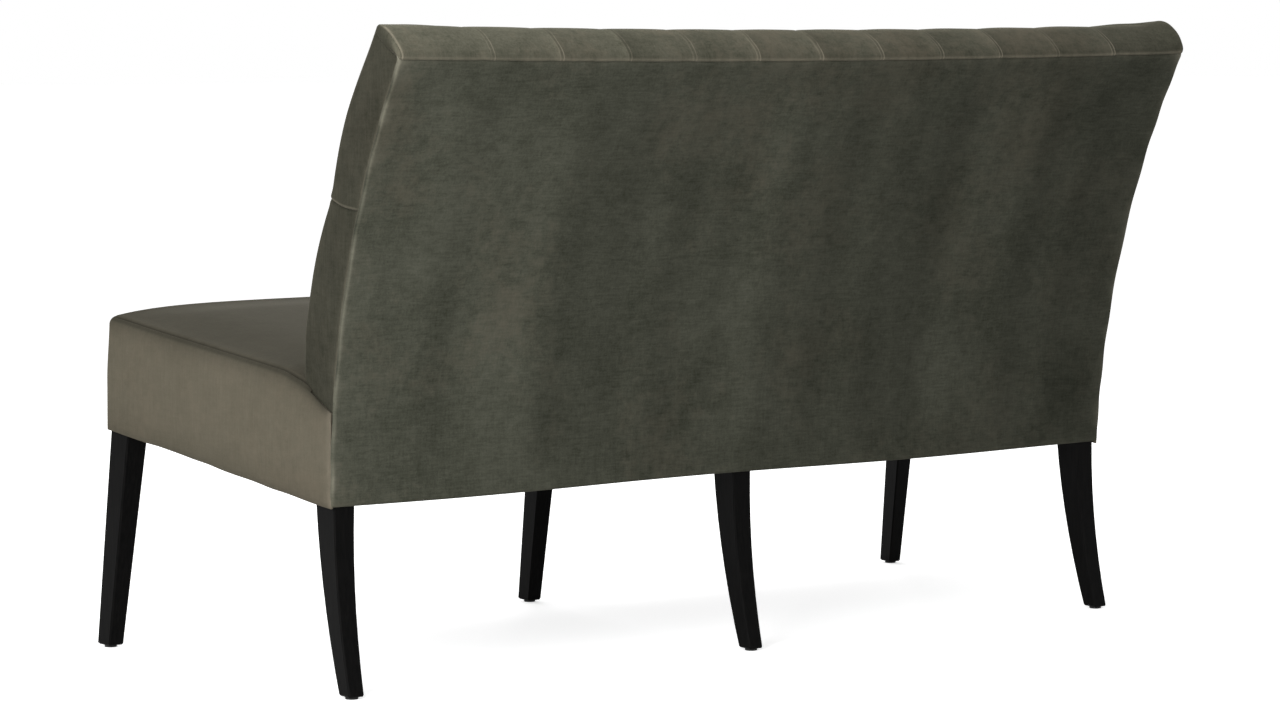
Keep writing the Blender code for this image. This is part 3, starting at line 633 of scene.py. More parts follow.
def puff(x, along):
    """0 along the folds and at the buttons, 1 in the middle of each diamond."""
    across = np.minimum(np.abs(x) / BUTTON_PITCH, OUTER_BUTTON)
    up = np.clip((along - MIDDLE_ROW) / ROW_PITCH, -1.0, 1.0)
    return np.abs((np.cos(np.pi * up) + np.cos(2 * np.pi * across)) / 2)


buttons = []
for index in (-1, 0, 1):
    count = 12 if index == 0 else 11
    for step in range(count):
        buttons.append(((step - (count - 1) / 2) * BUTTON_PITCH, MIDDLE_ROW + index * ROW_PITCH))


def near_button(x, along, reach):
    nearest = np.full(np.shape(x), 9.0)
    for button_x, button_along in buttons:
        nearest = np.minimum(nearest, np.hypot(x - button_x, along - button_along))
    return bell(nearest, 0.0, reach)


def roll_height(x):
    """The roll is a little lower towards the sitter's right, and stands up again at its very end."""
    return ROLL_HEIGHT + ROLL_SLANT * x / HALF_REAR + END_RISE * smooth(-x, 0.635, 0.685)


print(len(buttons), "buttons")

# %% [markdown]
# The sheet is laid out as a grid: its columns start at the rear edge of one side, come forwards, turn the
# corner, cross the front and go back along the other side. Its rows start under the seat, climb the front,
# go over the roll and end at the seam behind. At the ends of the roll the side columns draw together at the
# seam, which leaves the flat half-round end with its sharp fold that the photograph shows.

# %% Inside back: columns and rows
WALL = 14
CORNER = 8
ACROSS = 274
BELOW_FOLD = 52
AT_FOLD = 22
FRONT_ROWS = 120
ROLL_ROWS = 30
TUCKED = 2
WALL_BACK = 0.0015
CORNER_ROUND = 0.018

back_columns = 2 * (WALL + CORNER) + ACROSS
back_rows = FRONT_ROWS + ROLL_ROWS + TUCKED
back, column, row = grid("inside_back", back_columns, back_rows)
from_side = np.minimum(column, back_columns - column)
side = np.where(column < back_columns / 2, 1.0, -1.0)
wall = np.clip(from_side / WALL, 0, 1)
corner = np.clip((from_side - WALL) / CORNER, 0, 1) * math.pi / 2
turn = np.clip((row - FRONT_ROWS) / ROLL_ROWS, 0, 1) * math.pi
round_by = CORNER_ROUND + (0.0013 - CORNER_ROUND) * smooth(turn, 0.0, 0.9)
across = np.clip((from_side - WALL - CORNER) / (ACROSS / 2), 0, 1)
x_front = side * (HALF_REAR - CORNER_ROUND) * (1 - across)
print(back.name, "is", back_columns, "by", back_rows)

# %% Inside back: height of each point along the arc
DROP = 0.037
DROP_RANGE = (-0.118, 0.030)
FOLD_REACH = 0.014
FOLD_RISE = 0.012


def tuck_drop(y):
    """How far the line between seat and back falls towards the rear edge, along the side."""
    return DROP * smooth(y, *DROP_RANGE) / smooth(0.0, *DROP_RANGE)


def seat_height(x, y):
    """Height of the seat's top, which is crowned from side to side and a little lower along the front."""
    crown = 1 - np.minimum(1.0, np.abs(x) / half_width(y)) ** 10
    return seat_edge(y) + SEAT_CROWN * crown * smooth(y + SEAT_DEPTH, -0.30, 0.06)


start = along_at(seat_height(x_front, -DEPTH_LOW) - 0.012)
wall_y = -WALL_BACK - wall * (DEPTH_LOW - WALL_BACK)
wall_start = seat_edge(wall_y) - tuck_drop(wall_y) - 0.035 - BEND_HEIGHT
start = np.where(from_side < WALL + CORNER, np.minimum(start, wall_start), start)
fold_sag = 0.0018 * np.sin(np.pi * wall)
fold_at = np.where(from_side <= WALL, MIDDLE_ROW + FOLD_RISE * (1 - wall) - fold_sag, MIDDLE_ROW)
below = start + (fold_at - FOLD_REACH - start) * np.clip(row / BELOW_FOLD, 0, 1)
inside = 2 * FOLD_REACH * np.clip((row - BELOW_FOLD) / AT_FOLD, 0, 1)
over = np.clip((row - BELOW_FOLD - AT_FOLD) / (FRONT_ROWS - BELOW_FOLD - AT_FOLD), 0, 1)
along = below + inside + (SEAM - fold_at - FOLD_REACH) * over
above = (along - fold_at) * (turn == 0)
along = sagged(x_front, along)
print("the front starts at", round(start.min(), 3), "to", round(start.max(), 3), "m along the arc")

# %% Inside back: the form
fullness = np.maximum(puff(x_front, along) ** 0.45, 0.20 * smooth(np.abs(x_front), 0.615, 0.655))
fade = 1 - 0.45 * smooth(np.abs(x_front), 0.60, 0.69)
flatter = 0.84 - 0.24 * smooth(np.abs(x_front), 0.57, 0.65)
fade = fade * (1 - flatter * smooth(along, TOP_EASES, SEAM))
fade = fade * (1 - 0.97 * smooth(turn, -0.3, 0.7))
relief = fade * PUFF * fullness - SINK * (1 - smooth(turn, 0.0, 1.5))
crease = (1 - np.abs(np.sin(np.pi * x_front / BUTTON_PITCH)) ** 0.25) * (np.abs(x_front) < PLEATS_END)
over_buttons = smooth(along, MIDDLE_ROW + ROW_PITCH, MIDDLE_ROW + 1.35 * ROW_PITCH)
relief = relief - CREASE_DEPTH * crease * over_buttons * (2.4 - 1.4 * smooth(turn, 0.0, 0.6))
relief = relief - BUTTON_SINK * near_button(x_front, along, 0.018) * (turn == 0)
roll_in = 0.016 * (1 - smooth(along - start, 0.0, 0.034)) ** 2
middle = DEPTH_HIGH / 2
crest_along = along + roll_height(x_front) * np.sin(turn)
crest_depth = np.where(turn > 0, middle + middle * np.cos(turn), depth_line(along) - roll_in)
surface_along = crest_along + (relief - round_by) * np.sin(turn)
surface_depth = crest_depth + (relief - round_by) * np.cos(turn)
point_along = along + (surface_along - along) * wall + round_by * np.sin(corner) * np.sin(turn)
point_depth = WALL_BACK + (surface_depth - WALL_BACK) * wall + round_by * np.sin(corner) * np.cos(turn)
x = side * (HALF_REAR - round_by * (1 - np.cos(corner)))
x = np.where(from_side > WALL + CORNER, x_front * (HALF_REAR - round_by) / (HALF_REAR - CORNER_ROUND), x)
x = x + side * (bulge(along) - 0.0022 * smooth(turn, 1.9, 3.1)) * smooth(np.abs(x), 0.60, HALF_REAR)
print("fullest", round(relief.max() * 1000, 1), "mm over the line of the back")

# %% Inside back: the side fold, the seam, and painted highlights and shade
PLEAT_SHEEN_REACH = 0.018

under = bell(above, -0.0025, 0.0022) * (turn == 0)
lip = np.exp(-np.maximum(0, above) / 0.012) * smooth(above, -0.0012, 0.0012) * (turn == 0)
crest = bell(above, 0.0008, 0.0010) * (turn == 0)
on_side = (from_side <= WALL + CORNER) * smooth(wall, 0.0, 0.12)
belly = np.sin(np.pi * wall) * 0.003
x = x + side * on_side * (belly + 0.0013 * lip - 0.0028 * under) * np.cos(corner)
low = 1 - smooth(along - start, 0.024, 0.085)
x = x - side * low * (belly + bulge(along) + 0.0022) * (from_side < WALL + CORNER)
tucked = np.clip(row - FRONT_ROWS - ROLL_ROWS, 0, TUCKED) * (from_side > WALL + CORNER)
point_depth = point_depth + 0.003 * tucked
point_along = point_along - 0.0012 * tucked
y, z = arc_point(point_along, point_depth)
move_points(back, x, y, z)
# Painted highlights: pale lines at the pleats over the roll, round the corners of the roll's ends, at the
# side wall's rear edge and along the seam behind.
pleats = np.exp(-np.abs(np.sin(np.pi * x / BUTTON_PITCH)) / 0.05)
pleats = pleats + 0.6 * np.exp(-np.abs(np.sin(np.pi * (x / BUTTON_PITCH - 0.10))) / 0.05)
on_roll = (np.abs(x) < PLEATS_END) * smooth(turn, 0.5, 1.8)
roll_corner_highlight = bell(corner, 0.9, 0.5) * smooth(turn, 0.8, 1.4) * (from_side <= WALL + CORNER)
wall_edge_highlight = np.exp(-wall * 30) * (from_side <= WALL)
# The side wall is darker, partly the pile's lean and partly painted shade, and painted light pales the roll
# towards the sitter's left, where the side lamp stands.
at_wall = (from_side <= WALL + CORNER) * (1 - smooth(corner, 0.3, 1.4)) * (1 - smooth(turn, 1.2, 2.4))
pile_and_painted_light = (1.25 + 0.30 * x / HALF_REAR * smooth(turn, 0.3, 1.2)) * (1 - 0.51 * at_wall)
folded = on_roll * (0.55 + 0.65 * smooth(turn, 1.2, 2.8))
# Painted sheen: over the roll, each puff is paler just beside a pleat on its side towards the sitter's left,
# and darker just before the next pleat.
beyond = np.mod(x, BUTTON_PITCH)
lean = np.exp(-beyond / PLEAT_SHEEN_REACH) - np.exp((beyond - BUTTON_PITCH) / PLEAT_SHEEN_REACH)
pile_and_painted_light = pile_and_painted_light * (1 + 0.26 * lean * on_roll * (0.7 + 0.4 * np.sin(19.0 * x + 1.0)))
seam_highlight = 0.48 * bell(turn, 3.05, 0.10)
painted_highlight = 0.12 * pleats * on_roll + 0.7 * roll_corner_highlight + 0.3 * wall_edge_highlight + seam_highlight
# A painted highlight also runs along the crest of the side fold.
paint_light_and_pile(back, pile_and_painted_light, painted_highlight + 0.40 * crest * on_side * (1 - smooth(corner, 0.1, 0.9)), folded)
print("side fold and seam shaped")

# %% [markdown]
# The formula gives each diamond the same smooth dome. Cloth is then left to swell between the buttons, the
# folds, the roll and the seat, which all stay where they are. The grid's faces still look backwards, so its
# pressure is negative.

# %% Inside back: swelling and closing
front = smooth(puff(x_front, along), 0.02, 0.30) * (turn == 0) * (from_side > WALL + CORNER)
front = front * smooth(along - start, 0.02, 0.07) * smooth(SEAM - along, 0.03, 0.10)
front = front * smooth(HALF_REAR - np.abs(x_front), 0.02, 0.06) * (1 - near_button(x_front, along, 0.014))
swell(back, front, 0.006, -4.0)
thicken(back, BACK_THICKNESS)
keep(back, back_velvet, "velvet", "inside_back_cover")

# %% [markdown]
# ## The seat
# The seat is a shallow velvet box, crowned in the middle, with plain boxing below a seam that runs round
# its top edge. It starts as a cube that is cut into strips, close together near the edges where the seam
# needs them, and its points are then moved to the seat's own lines. The rear and the underside stay open,
# because the frame is there. Last the cloth of its top swells over the foam, held by the seam and by the
# back.

# %% Seat: spacing of the strips
EDGE_STEPS = [0.0, 0.002, 0.004, 0.0054, 0.0062, 0.0070, 0.0078, 0.0086, 0.0105, 0.014, 0.020, 0.030]
SEAT_END = -0.0518
FLAP_END = -0.0010
STRIP_PITCH = 0.010


def strips(length, first, last):
    """Places from 0 to length, close together at the ends that are asked for."""
    head = EDGE_STEPS if first else [0.0]
    tail = [length - step for step in reversed(EDGE_STEPS)] if last else [length]
    count = int((tail[0] - head[-1]) / STRIP_PITCH)
    inner = [head[-1] + (tail[0] - head[-1]) * k / (count + 1) for k in range(1, count + 1)]
    return np.array(head + inner + tail)


across_strips = strips(2.0 * HALF_REAR, True, True)
deep_strips = strips(SEAT_DEPTH + SEAT_END, True, False)
flap_strips = np.linspace(SEAT_END, FLAP_END, 6)[1:]
high_strips = strips(BOX_HEIGHT, False, True)
print(len(across_strips), "across,", len(deep_strips) + len(flap_strips), "deep,", len(high_strips), "high")

# %% Seat: cutting the cube


def select_none(kind):
    """Unselects a mesh's parts, and sets which kind of part is selected next."""
    bpy.ops.object.mode_set(mode="EDIT")
    bpy.ops.mesh.select_mode(type=kind)
    bpy.ops.mesh.select_all(action="DESELECT")
    bpy.ops.object.mode_set(mode="OBJECT")


def cut_cube(name, cuts):
    """A cube from 0 to 1 cut into strips along X, Y and Z."""
    deselect()
    bpy.ops.mesh.primitive_cube_add(size=1, location=(0.5, 0.5, 0.5))
    piece = bpy.context.object
    piece.name = piece.data.name = name
    bpy.ops.object.transform_apply(location=True, rotation=True, scale=True)
    for axis, count in enumerate(cuts):
        ends = points_of(piece)
        select_none("EDGE")
        for edge in piece.data.edges:
            first, second = (ends[v] for v in edge.vertices)
            edge.select = bool(abs(first[axis] - second[axis]) > 1e-6)
        bpy.ops.object.mode_set(mode="EDIT")
        bpy.ops.mesh.subdivide(number_cuts=count - 1, quadcorner="INNERVERT")
        bpy.ops.object.mode_set(mode="OBJECT")
    return piece


def delete_faces(piece, wanted):
    """Deletes the faces for which wanted(centre, normal) is true."""
    choose(piece)
    select_none("FACE")
    for face in piece.data.polygons:
        face.select = bool(wanted(face.center, face.normal))
    bpy.ops.object.mode_set(mode="EDIT")
    bpy.ops.mesh.delete(type="FACE")
    bpy.ops.object.mode_set(mode="OBJECT")


columns = len(across_strips) - 1
rows = len(deep_strips) + len(flap_strips) - 1
levels = len(high_strips) - 1
seat = cut_cube("seat_upholstery", (columns, rows, levels))
flap_share = (len(deep_strips) - 1) / rows
delete_faces(seat, lambda c, n: n.z < -0.5 or n.y > 0.5 or (n.z > 0.5 and c.y > flap_share))
print(seat.name, len(seat.data.polygons), "faces")

# %% Seat: the form
SIDE_FALL_POWER = 14

spots = points_of(seat)
column, row, level = np.round(spots * (columns, rows, levels)).astype(int).T
flat_y = np.concatenate([deep_strips - SEAT_DEPTH, flap_strips])[row]
share = across_strips[column] / HALF_REAR - 1
rise = high_strips[level]
from_top = BOX_HEIGHT - rise
from_side = np.minimum(across_strips[column], 2 * HALF_REAR - across_strips[column])
from_front = flat_y + SEAT_DEPTH
half = half_width(flat_y)
crown = (seat_height(share * half, flat_y) - seat_edge(flat_y)) * smooth(rise, BOX_HEIGHT - 0.03, BOX_HEIGHT)
low = tuck_drop(flat_y) * np.abs(share) ** SIDE_FALL_POWER
hang = 0.0035 * smooth(flat_y, -0.42, -0.02) * (1 - smooth(rise, 0.0, 0.06))
z = underside(flat_y) + rise * (1 - low / BOX_HEIGHT) + crown - hang
print("seat top", round(z.max(), 3), "m high")

# %% Seat: rounded edges, belly and seam
EDGE_ROUND = 0.011
SEAT_PROUD = 0.0026
SEAT_THICKNESS = 0.003

gap = np.stack([from_side, from_front, np.where(flat_y < SEAT_END, from_top, 1.0)])
radius = EDGE_ROUND * (1 - 0.9 * smooth(flat_y, SEAT_END - 0.045, SEAT_END - 0.002))
inward = np.maximum(0, radius - gap)
length = np.sqrt((inward**2).sum(axis=0))
pull = np.where(length > radius, 1 - radius / np.maximum(length, 1e-9), 0.0) * inward
belly = 0.003 * np.sin(np.pi * np.clip(rise / BOX_HEIGHT, 0, 1)) ** 0.8 * smooth(flat_y, 0.0, -0.08)
side_belly = (from_side == 0) * belly * smooth(from_front, 0.01, 0.10)
front_belly = (from_front == 0) * belly * smooth(from_side, 0.01, 0.10)
x = share * (half + SEAT_PROUD) + np.sign(share) * (side_belly - pull[0])
y = flat_y - 0.0016 * (1 - smooth(from_front, 0.0, 0.1)) + pull[1] - front_belly
z = z - pull[2]
lean = smooth(rise, 0.07, BOX_HEIGHT) * (1 - smooth(from_front, 0.0, 0.16))
x = x - np.sign(share) * 0.0030 * lean * np.abs(share) ** 8
y = y + 0.0034 * lean - 0.0014 * (1 - smooth(rise, 0.0, 0.08)) * (1 - smooth(from_front, 0.0, 0.05))
close = smooth(flat_y, SEAT_END - 0.036, SEAT_END) * (1 - smooth(from_top, 0.0, 0.020))
x = x + np.sign(share) * 0.85 * SIDE_FLARE * flat_y * close * np.exp(-from_side / 0.02)
to_edge = np.minimum(from_side, from_front)
on_top = from_top == 0
groove = bell(to_edge, 0.007, 0.0009) * on_top
ridge = bell(to_edge, 0.0115, 0.003) * on_top
z = z - 0.0024 * groove + 0.0008 * ridge
hem = 0.0006 * np.sin(19.0 * (x + y) + 1.3 * np.sin(41.0 * (x - y)))
z = z + hem * (1 - smooth(rise, 0.0, 0.02))
move_points(seat, x, y, z)
# Painted highlights: a pale line just inside the seam on the top, and a pale rear edge of the boxing. Painted
# light and shade, partly the pile's lean: the top is darker than the boxing, with painted shade in the seam's
# groove, in a band under the seam and along the boxing's foot.
ridge_highlight = np.exp(-np.abs(to_edge - 0.010) / 0.003) * on_top
shaded = np.exp(-from_top / 0.012) * (1 - on_top) + 0.25 * (1 - smooth(rise, 0.0, 0.05))
pile_and_painted_light = np.where(on_top, 0.60 - 0.42 * groove, 1.43 - 0.85 * shaded)
rear_edge_highlight = 0.5 * np.exp((flat_y - FLAP_END) / 0.006)
paint_light_and_pile(seat, pile_and_painted_light, 0.10 * ridge_highlight + rear_edge_highlight)
loose = on_top * smooth(to_edge, 0.015, 0.09) * smooth(SEAT_END - flat_y, 0.01, 0.09)
swell(seat, loose, 0.005, 4.0)
thicken(seat, SEAT_THICKNESS)
keep(seat, seat_velvet, "velvet", "seat_cover")

# %% Seat: the row of stitches
STITCH = 0.0042
STITCH_PITCH = 0.0056
STITCH_ROW = 0.0125
STITCHES_END = -0.095
THREAD_RADIUS = 0.00045
LOOK_AHEAD = 0.004


def cut_across(**plane):
    """Cuts the active mesh with a plane."""
    bpy.ops.object.mode_set(mode="EDIT")
    bpy.ops.mesh.select_all(action="SELECT")
    bpy.ops.mesh.bisect(**plane)
    bpy.ops.object.mode_set(mode="OBJECT")


def stitch_shape():
    """One stitch: a short thread that dives into the cloth at both ends."""
    deselect()
    bpy.ops.mesh.primitive_cylinder_add(
        vertices=6, radius=THREAD_RADIUS, depth=STITCH, rotation=(0, math.pi / 2, 0)
    )
    shape = bpy.context.object
    bpy.ops.object.transform_apply(location=True, rotation=True, scale=True)
    cut_across(plane_co=(0, 0, 0), plane_no=(1, 0, 0))
    for vertex in shape.data.vertices:
        vertex.co.z -= 0.0006 * (abs(vertex.co.x) / (STITCH / 2)) ** 2
    return shape


def seat_surface(x, y):
    """Height of the seat's top, with the fall towards the rear at its sides."""
    return seat_height(x, y) - tuck_drop(y) * (np.abs(x) / half_width(y)) ** SIDE_FALL_POWER


def run_of_stitches(start, end):
    """(x, y, heading) of the stitches between two places on the seat's top."""
    start, end = np.array(start), np.array(end)
    count = int(np.hypot(*(end - start)) / STITCH_PITCH)
    heading = math.atan2(*(end - start)[::-1])
    return [(*(start + (end - start) * (n + 0.5) / count), heading) for n in range(count)]


front_y = -SEAT_DEPTH + STITCH_ROW
corner_x = half_width(front_y) - STITCH_ROW
crease_x = half_width(STITCHES_END) - STITCH_ROW
runs = run_of_stitches((corner_x, front_y), (-corner_x, front_y))
runs += run_of_stitches((corner_x, front_y), (crease_x, STITCHES_END))
runs += run_of_stitches((-corner_x, front_y), (-crease_x, STITCHES_END))
print(len(runs), "stitches to sew")

# %% Seat: sewing
stitch = stitch_shape()
shape_points = points_of(stitch)
faces = [tuple(face.vertices) for face in stitch.data.polygons]
bpy.data.objects.remove(stitch)
sewn_points, sewn_faces = [], []
for x, y, heading in runs:
    ahead = seat_surface(x + LOOK_AHEAD * math.cos(heading), y + LOOK_AHEAD * math.sin(heading))
    slope = float(ahead - seat_surface(x, y)) / LOOK_AHEAD
    turned_x = shape_points[:, 0] * math.cos(heading) - shape_points[:, 1] * math.sin(heading)
    turned_y = shape_points[:, 0] * math.sin(heading) + shape_points[:, 1] * math.cos(heading)
    height = float(seat_surface(x, y)) + 0.0004 + shape_points[:, 2] + slope * shape_points[:, 0]
    first = len(sewn_points) * len(shape_points)
    sewn_points.append(np.stack([x + turned_x, y + REAR_EDGE + turned_y, height], axis=1))
    sewn_faces += [tuple(first + v for v in face) for face in faces]
mesh = bpy.data.meshes.new("seat_stitches")
mesh.from_pydata(np.concatenate(sewn_points).tolist(), [], sewn_faces)
stitches = bpy.data.objects.new("seat_stitches", mesh)
bpy.context.scene.collection.objects.link(stitches)
tidy_mesh(stitches, 1e-7)
keep(stitches, thread, "velvet")

# %% [markdown]
# ## The buttons
# Each button is a small tin dome covered in the same velvet. One is modelled from a sphere: flattened, with
# a flat back, and set down in its hollow, square to the back's surface there. Then it is copied to all the
# places.

# %% Buttons
BUTTON_RADIUS = 0.0105
BUTTON_RISE = 0.0055


def button_shape():
    """One button: a flattened sphere, cut off flat behind."""
    deselect()
    bpy.ops.mesh.primitive_uv_sphere_add(segments=20, ring_count=12, radius=BUTTON_RADIUS)
    shape = bpy.context.object
    cut_across(plane_co=(0, 0, -0.003), plane_no=(0, 0, 1), use_fill=True, clear_inner=True)
    shape.scale = (1, 1, BUTTON_RISE / BUTTON_RADIUS)
    bpy.ops.object.transform_apply(location=True, rotation=True, scale=True)
    return shape


def sew_button(shape, x, along):
    """A copy of the button, with its face turned to the front of the back."""
    piece = bpy.data.objects.new("button", shape.data.copy())
    bpy.context.scene.collection.objects.link(piece)
    depth = depth_line(along) - SINK - BUTTON_SINK + 0.005
    spots = points_of(shape)
    y, z = arc_point(along + spots[:, 1], depth + spots[:, 2])
    move_points(piece, x + spots[:, 0], y, z)
    # Painted highlight: each button is paler towards the top of its dome.
    paint_light_and_pile(piece, 1.25, 0.5 * (spots[:, 2] / BUTTON_RISE) ** 2)
    return piece


shape = button_shape()
rows_of_buttons = {"lower": [], "middle": [], "upper": []}
for x, place in buttons:
    word = list(rows_of_buttons)[round((place - MIDDLE_ROW) / ROW_PITCH) + 1]
    rows_of_buttons[word].append(sew_button(shape, x, float(sagged(x, place))))
bpy.data.objects.remove(shape)
for word, copies in rows_of_buttons.items():
    deselect()
    for piece in copies:
        piece.select_set(True)
    bpy.context.view_layer.objects.active = copies[0]
    bpy.ops.object.join()
    joined = copies[0]
    joined.name = joined.data.name = f"back_buttons_{word}"
    tidy_mesh(joined, 1e-7)
    keep(joined, back_velvet, "velvet")

# %% [markdown]
# ## What is under the velvet
# The foams fill the seat and the back, the webbing straps carry them, and a black cloth closes the
# underside. None of them shows in the photograph, and each still has its own form: the foams follow the
# covers a few millimetres below them, the straps sag a little between the rails, and the cloth is cut round
# the legs.

# %% Back foam
FOAM_COLUMNS = 96
FOAM_ROWS = 44
FOAM_UPRIGHT = 0.82
FOAM_OVER = 0.18
FOAM_THICKNESS = 0.014

foam_pad, column, row = grid("back_padding", FOAM_COLUMNS, FOAM_ROWS)
x = (column / FOAM_COLUMNS * 2 - 1) * (HALF_REAR - 0.012)
rise = row / FOAM_ROWS
start = along_at(seat_height(x, -DEPTH_LOW) + 0.004)
turn = np.clip((rise - FOAM_UPRIGHT) / FOAM_OVER, 0, 1) * 2.2
along = start + (SEAM - sag(x) - start) * np.clip(rise / FOAM_UPRIGHT, 0, 1)
inset = 0.010 + 0.010 * smooth(np.abs(x), HALF_REAR - 0.05, HALF_REAR)
domes = PUFF * 0.6 * puff(x, along) ** 0.6 * (1 - smooth(turn, 0.0, 0.8))
domes = domes * (1 - smooth(np.abs(x), 0.58, 0.66)) * (1 - 0.6 * smooth(along, TOP_EASES, SEAM))
domes = np.where(turn > 0, -SINK * 0.5, domes - SINK - BUTTON_SINK * 0.6)
depth = np.where(turn > 0, DEPTH_HIGH / 2 * (1 + np.cos(turn)), depth_line(along))
depth = depth + (domes - inset) * np.cos(turn)
y, z = arc_point(along + 0.5 * roll_height(x) * np.sin(turn), depth)
move_points(foam_pad, x, y, z)
thicken(foam_pad, FOAM_THICKNESS)
keep(foam_pad, foam, "foam", "back_foam")

# %% Seat foam
PAD_INSET = 0.008
PAD_BASE = 0.0875
PAD_BELOW = 0.006

pad = cut_cube("seat_padding", (40, 16, 4))
spots = points_of(pad)
flat_y = -SEAT_DEPTH + PAD_INSET + spots[:, 1] * (SEAT_DEPTH + SEAT_END - 0.010)
share = spots[:, 0] * 2 - 1
x = share * (half_width(flat_y) - PAD_INSET)
base = underside(flat_y) + PAD_BASE
rounded = 0.012 * (np.abs(share) ** 40 + (1 - spots[:, 1]) ** 40)
top = seat_surface(x, flat_y) - PAD_BELOW - rounded
move_points(pad, x, flat_y, base + (top - base) * spots[:, 2])
apply_modifier(pad, "BEVEL", width=0.006, segments=2, limit_method="ANGLE", angle_limit=math.radians(40))
tidy_mesh(pad)
keep(pad, foam, "foam", "seat_foam")

# %% Webbing
STRAP_COLUMNS = 10
STRAP_ROWS = 40
STRAP_WIDTH = 0.050
STRAP_THICKNESS = 0.0012
STRAP_SAG = 0.0003
SELVEDGE = 0.0003
SEAT_WEB_RISE = 0.0845
BACK_WEB_DEPTH = 0.0310
BACK_WEB_START = 0.193
BACK_WEB_END = 0.6014


def lay_strap(node):
    """A woven strap in its node's place: a thin sheet with thick selvedges."""
    low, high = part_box(node)
    strap, column, row = grid("web_" + node, STRAP_COLUMNS, STRAP_ROWS)
    across = column / STRAP_COLUMNS * 2 - 1
    x = (low[0] + high[0]) / 2 + across * STRAP_WIDTH / 2
    selvedge = SELVEDGE * smooth(np.abs(across), 0.7, 0.85)
    if node.startswith("seat"):
        y = low[1] + row / STRAP_ROWS * (high[1] - low[1]) - REAR_EDGE
        z = underside(y) + SEAT_WEB_RISE + selvedge - STRAP_SAG * np.sin(np.pi * row / STRAP_ROWS)
        length = (high[1] - low[1]) * math.hypot(1, SEAT_SLOPE)
    else:
        length = BACK_WEB_END - BACK_WEB_START
        y, z = arc_point(BACK_WEB_START + row / STRAP_ROWS * length, BACK_WEB_DEPTH + selvedge)
    move_points(strap, x, y, z)
    thicken(strap, STRAP_THICKNESS)
    keep(strap, webbing, "webbing", node)


for node in sorted(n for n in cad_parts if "strap" in n):
    lay_strap(node)

# %% Dust cloth
CLOTH_INSET = 0.0015
CLOTH_COLUMNS = 240
CLOTH_ROWS = 88
CLOTH_THICKNESS = 0.0006
LEG_CLEARANCE = 0.001
POST_DEPTH = 0.056
FRONT_LEG_RAKE = 0.038
POST_HEIGHT = 0.6

cloth, column, row = grid("dust_cloth", CLOTH_COLUMNS, CLOTH_ROWS)
flat_y = -SEAT_DEPTH + CLOTH_INSET + row / CLOTH_ROWS * (SEAT_DEPTH - 2 * CLOTH_INSET)
x = (column / CLOTH_COLUMNS * 2 - 1) * (half_width(flat_y) - CLOTH_INSET)
slack = np.sin(np.pi * row / CLOTH_ROWS) * np.abs(np.sin(2 * np.pi * column / CLOTH_COLUMNS)) ** 0.6
z = underside(flat_y) + 0.0010 - 0.0030 * slack + 0.0004 * np.sin(37 * x) * np.sin(29 * flat_y)
move_points(cloth, x, flat_y, z)
legs = [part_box(n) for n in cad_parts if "leg" in n or "post" in n]


def under_leg(centre, normal):
    """Whether a face of the cloth is where a leg or a post comes through."""
    for low, high in legs:
        post = high[2] > POST_HEIGHT
        front = REAR_EDGE - POST_DEPTH if post else low[1] + FRONT_LEG_RAKE
        rear = REAR_EDGE if post else high[1] + LEG_CLEARANCE
        if low[0] - LEG_CLEARANCE < centre.x < high[0] + LEG_CLEARANCE and front < centre.y < rear:
            return True
    return False


delete_faces(cloth, under_leg)
thicken(cloth, CLOTH_THICKNESS, 1.0)
keep(cloth, dust_cloth, "cambric", "dust_cover")
rails = ["front_rail_left", "front_rail_right", "rear_rail_left", "rear_rail_right"]
rails += ["side_rail_left", "side_rail_right"]

# %% [markdown]
# ## Floor, light and background
# A white studio: a wide pale floor that keeps the soft shadow, a white surround, a large soft lamp on the
# side that the photograph shows bright, and weaker ones above and in front. The surround is only bright for
# the camera and in reflections, so it doesn't wash out the velvet.

# %% Floor
FLOOR_SIZE = 120
FLOOR_PAINT = {"Base Color": (0.86, 0.86, 0.86, 1), "Roughness": 0.9, "Specular IOR Level": 0.1}

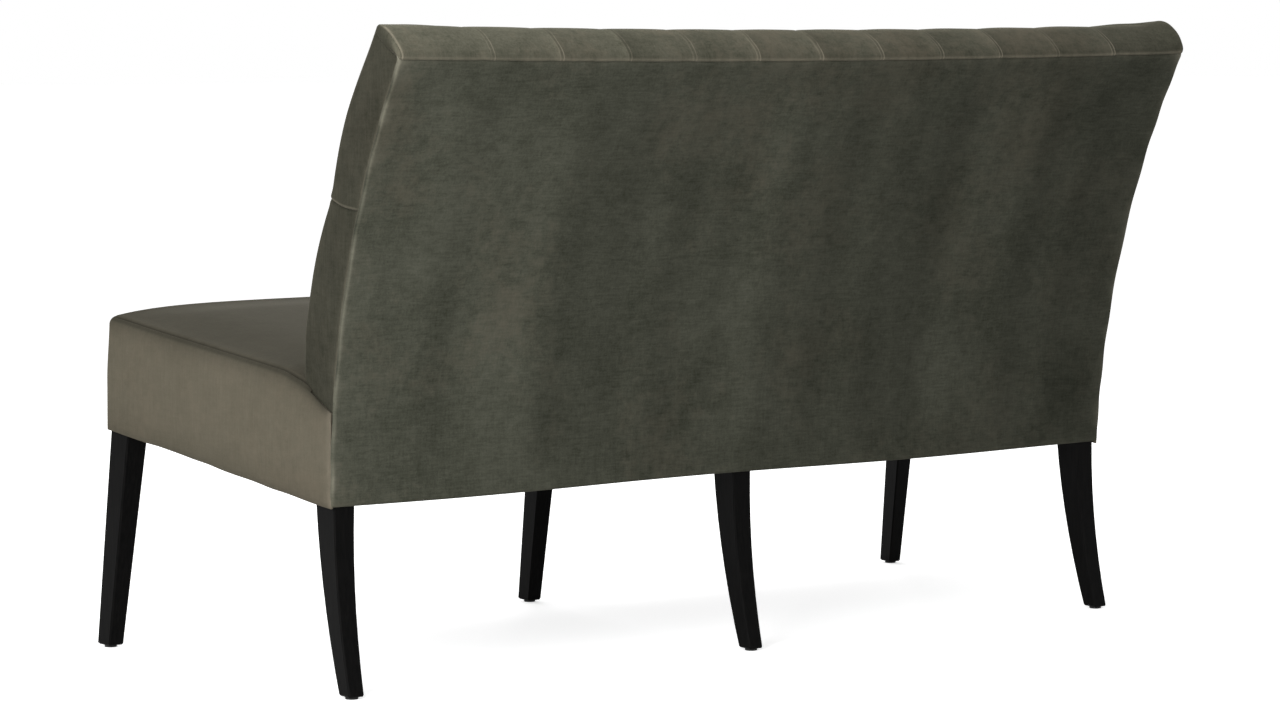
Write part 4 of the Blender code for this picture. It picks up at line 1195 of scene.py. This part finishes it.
deselect()
bpy.ops.mesh.primitive_plane_add(size=FLOOR_SIZE, location=(0, 0, 0))
floor = bpy.context.object
floor.name = "floor"
studio = Finish("studio_floor", FLOOR_PAINT)
paint = Value(studio, studio.shader.outputs[0])
glow = studio.node("ShaderNodeEmission", {}, {"Strength": 0.60})
both = studio.node("ShaderNodeAddShader", {}, {0: paint, 1: glow})
for_camera = studio.node("ShaderNodeLightPath", {}, {}, "Is Camera Ray")
pick = studio.node("ShaderNodeMixShader", {}, {0: for_camera, 1: paint, 2: both})
studio.join(studio.tree.nodes["Material Output"].inputs["Surface"], pick)
floor.data.materials.append(studio.material)
print("floor", floor.dimensions[:])

# %% Surround
world = bpy.context.scene.world or bpy.data.worlds.new("studio")
bpy.context.scene.world = world
world.use_nodes = True
world.node_tree.nodes.clear()
surround = Web(world.node_tree)
fill, white = (
    surround.node("ShaderNodeBackground", {}, {"Color": (1, 1, 1, 1), "Strength": strength})
    for strength in (0.50, 1.0)
)
seen = surround.node("ShaderNodeLightPath", {}, {}, "Is Camera Ray")
mirrored = surround.node("ShaderNodeLightPath", {}, {}, "Is Glossy Ray")
bright = seen.math("MAXIMUM", seen, mirrored)
pick = surround.node("ShaderNodeMixShader", {}, {0: bright, 1: fill, 2: white})
out = world.node_tree.nodes.new("ShaderNodeOutputWorld")
surround.join(out.inputs["Surface"], pick)
print("surround ready")

# %% Lamps


def soft_lamp(name, place, target, size, power):
    """A large rectangular lamp that faces its target."""
    lamp = bpy.data.lights.new(name, "AREA")
    lamp.shape = "RECTANGLE"
    lamp.size, lamp.size_y = size
    lamp.energy = power
    item = bpy.data.objects.new(name, lamp)
    bpy.context.scene.collection.objects.link(item)
    item.location = place
    item.rotation_euler = Vector(np.subtract(target, place)).to_track_quat("-Z", "Y").to_euler()


soft_lamp("side_lamp", (3.0, 1.5, 1.7), (0, 0, 0.4), (1.8, 1.8), 90)
soft_lamp("top_lamp", (0.6, -0.2, 3.4), (0, 0, 0.4), (3.0, 2.0), 60)
soft_lamp("front_lamp", (-1.4, -3.4, 1.8), (0, 0, 0.5), (2.4, 1.6), 45)
bpy.context.scene.view_settings.view_transform = "Standard"
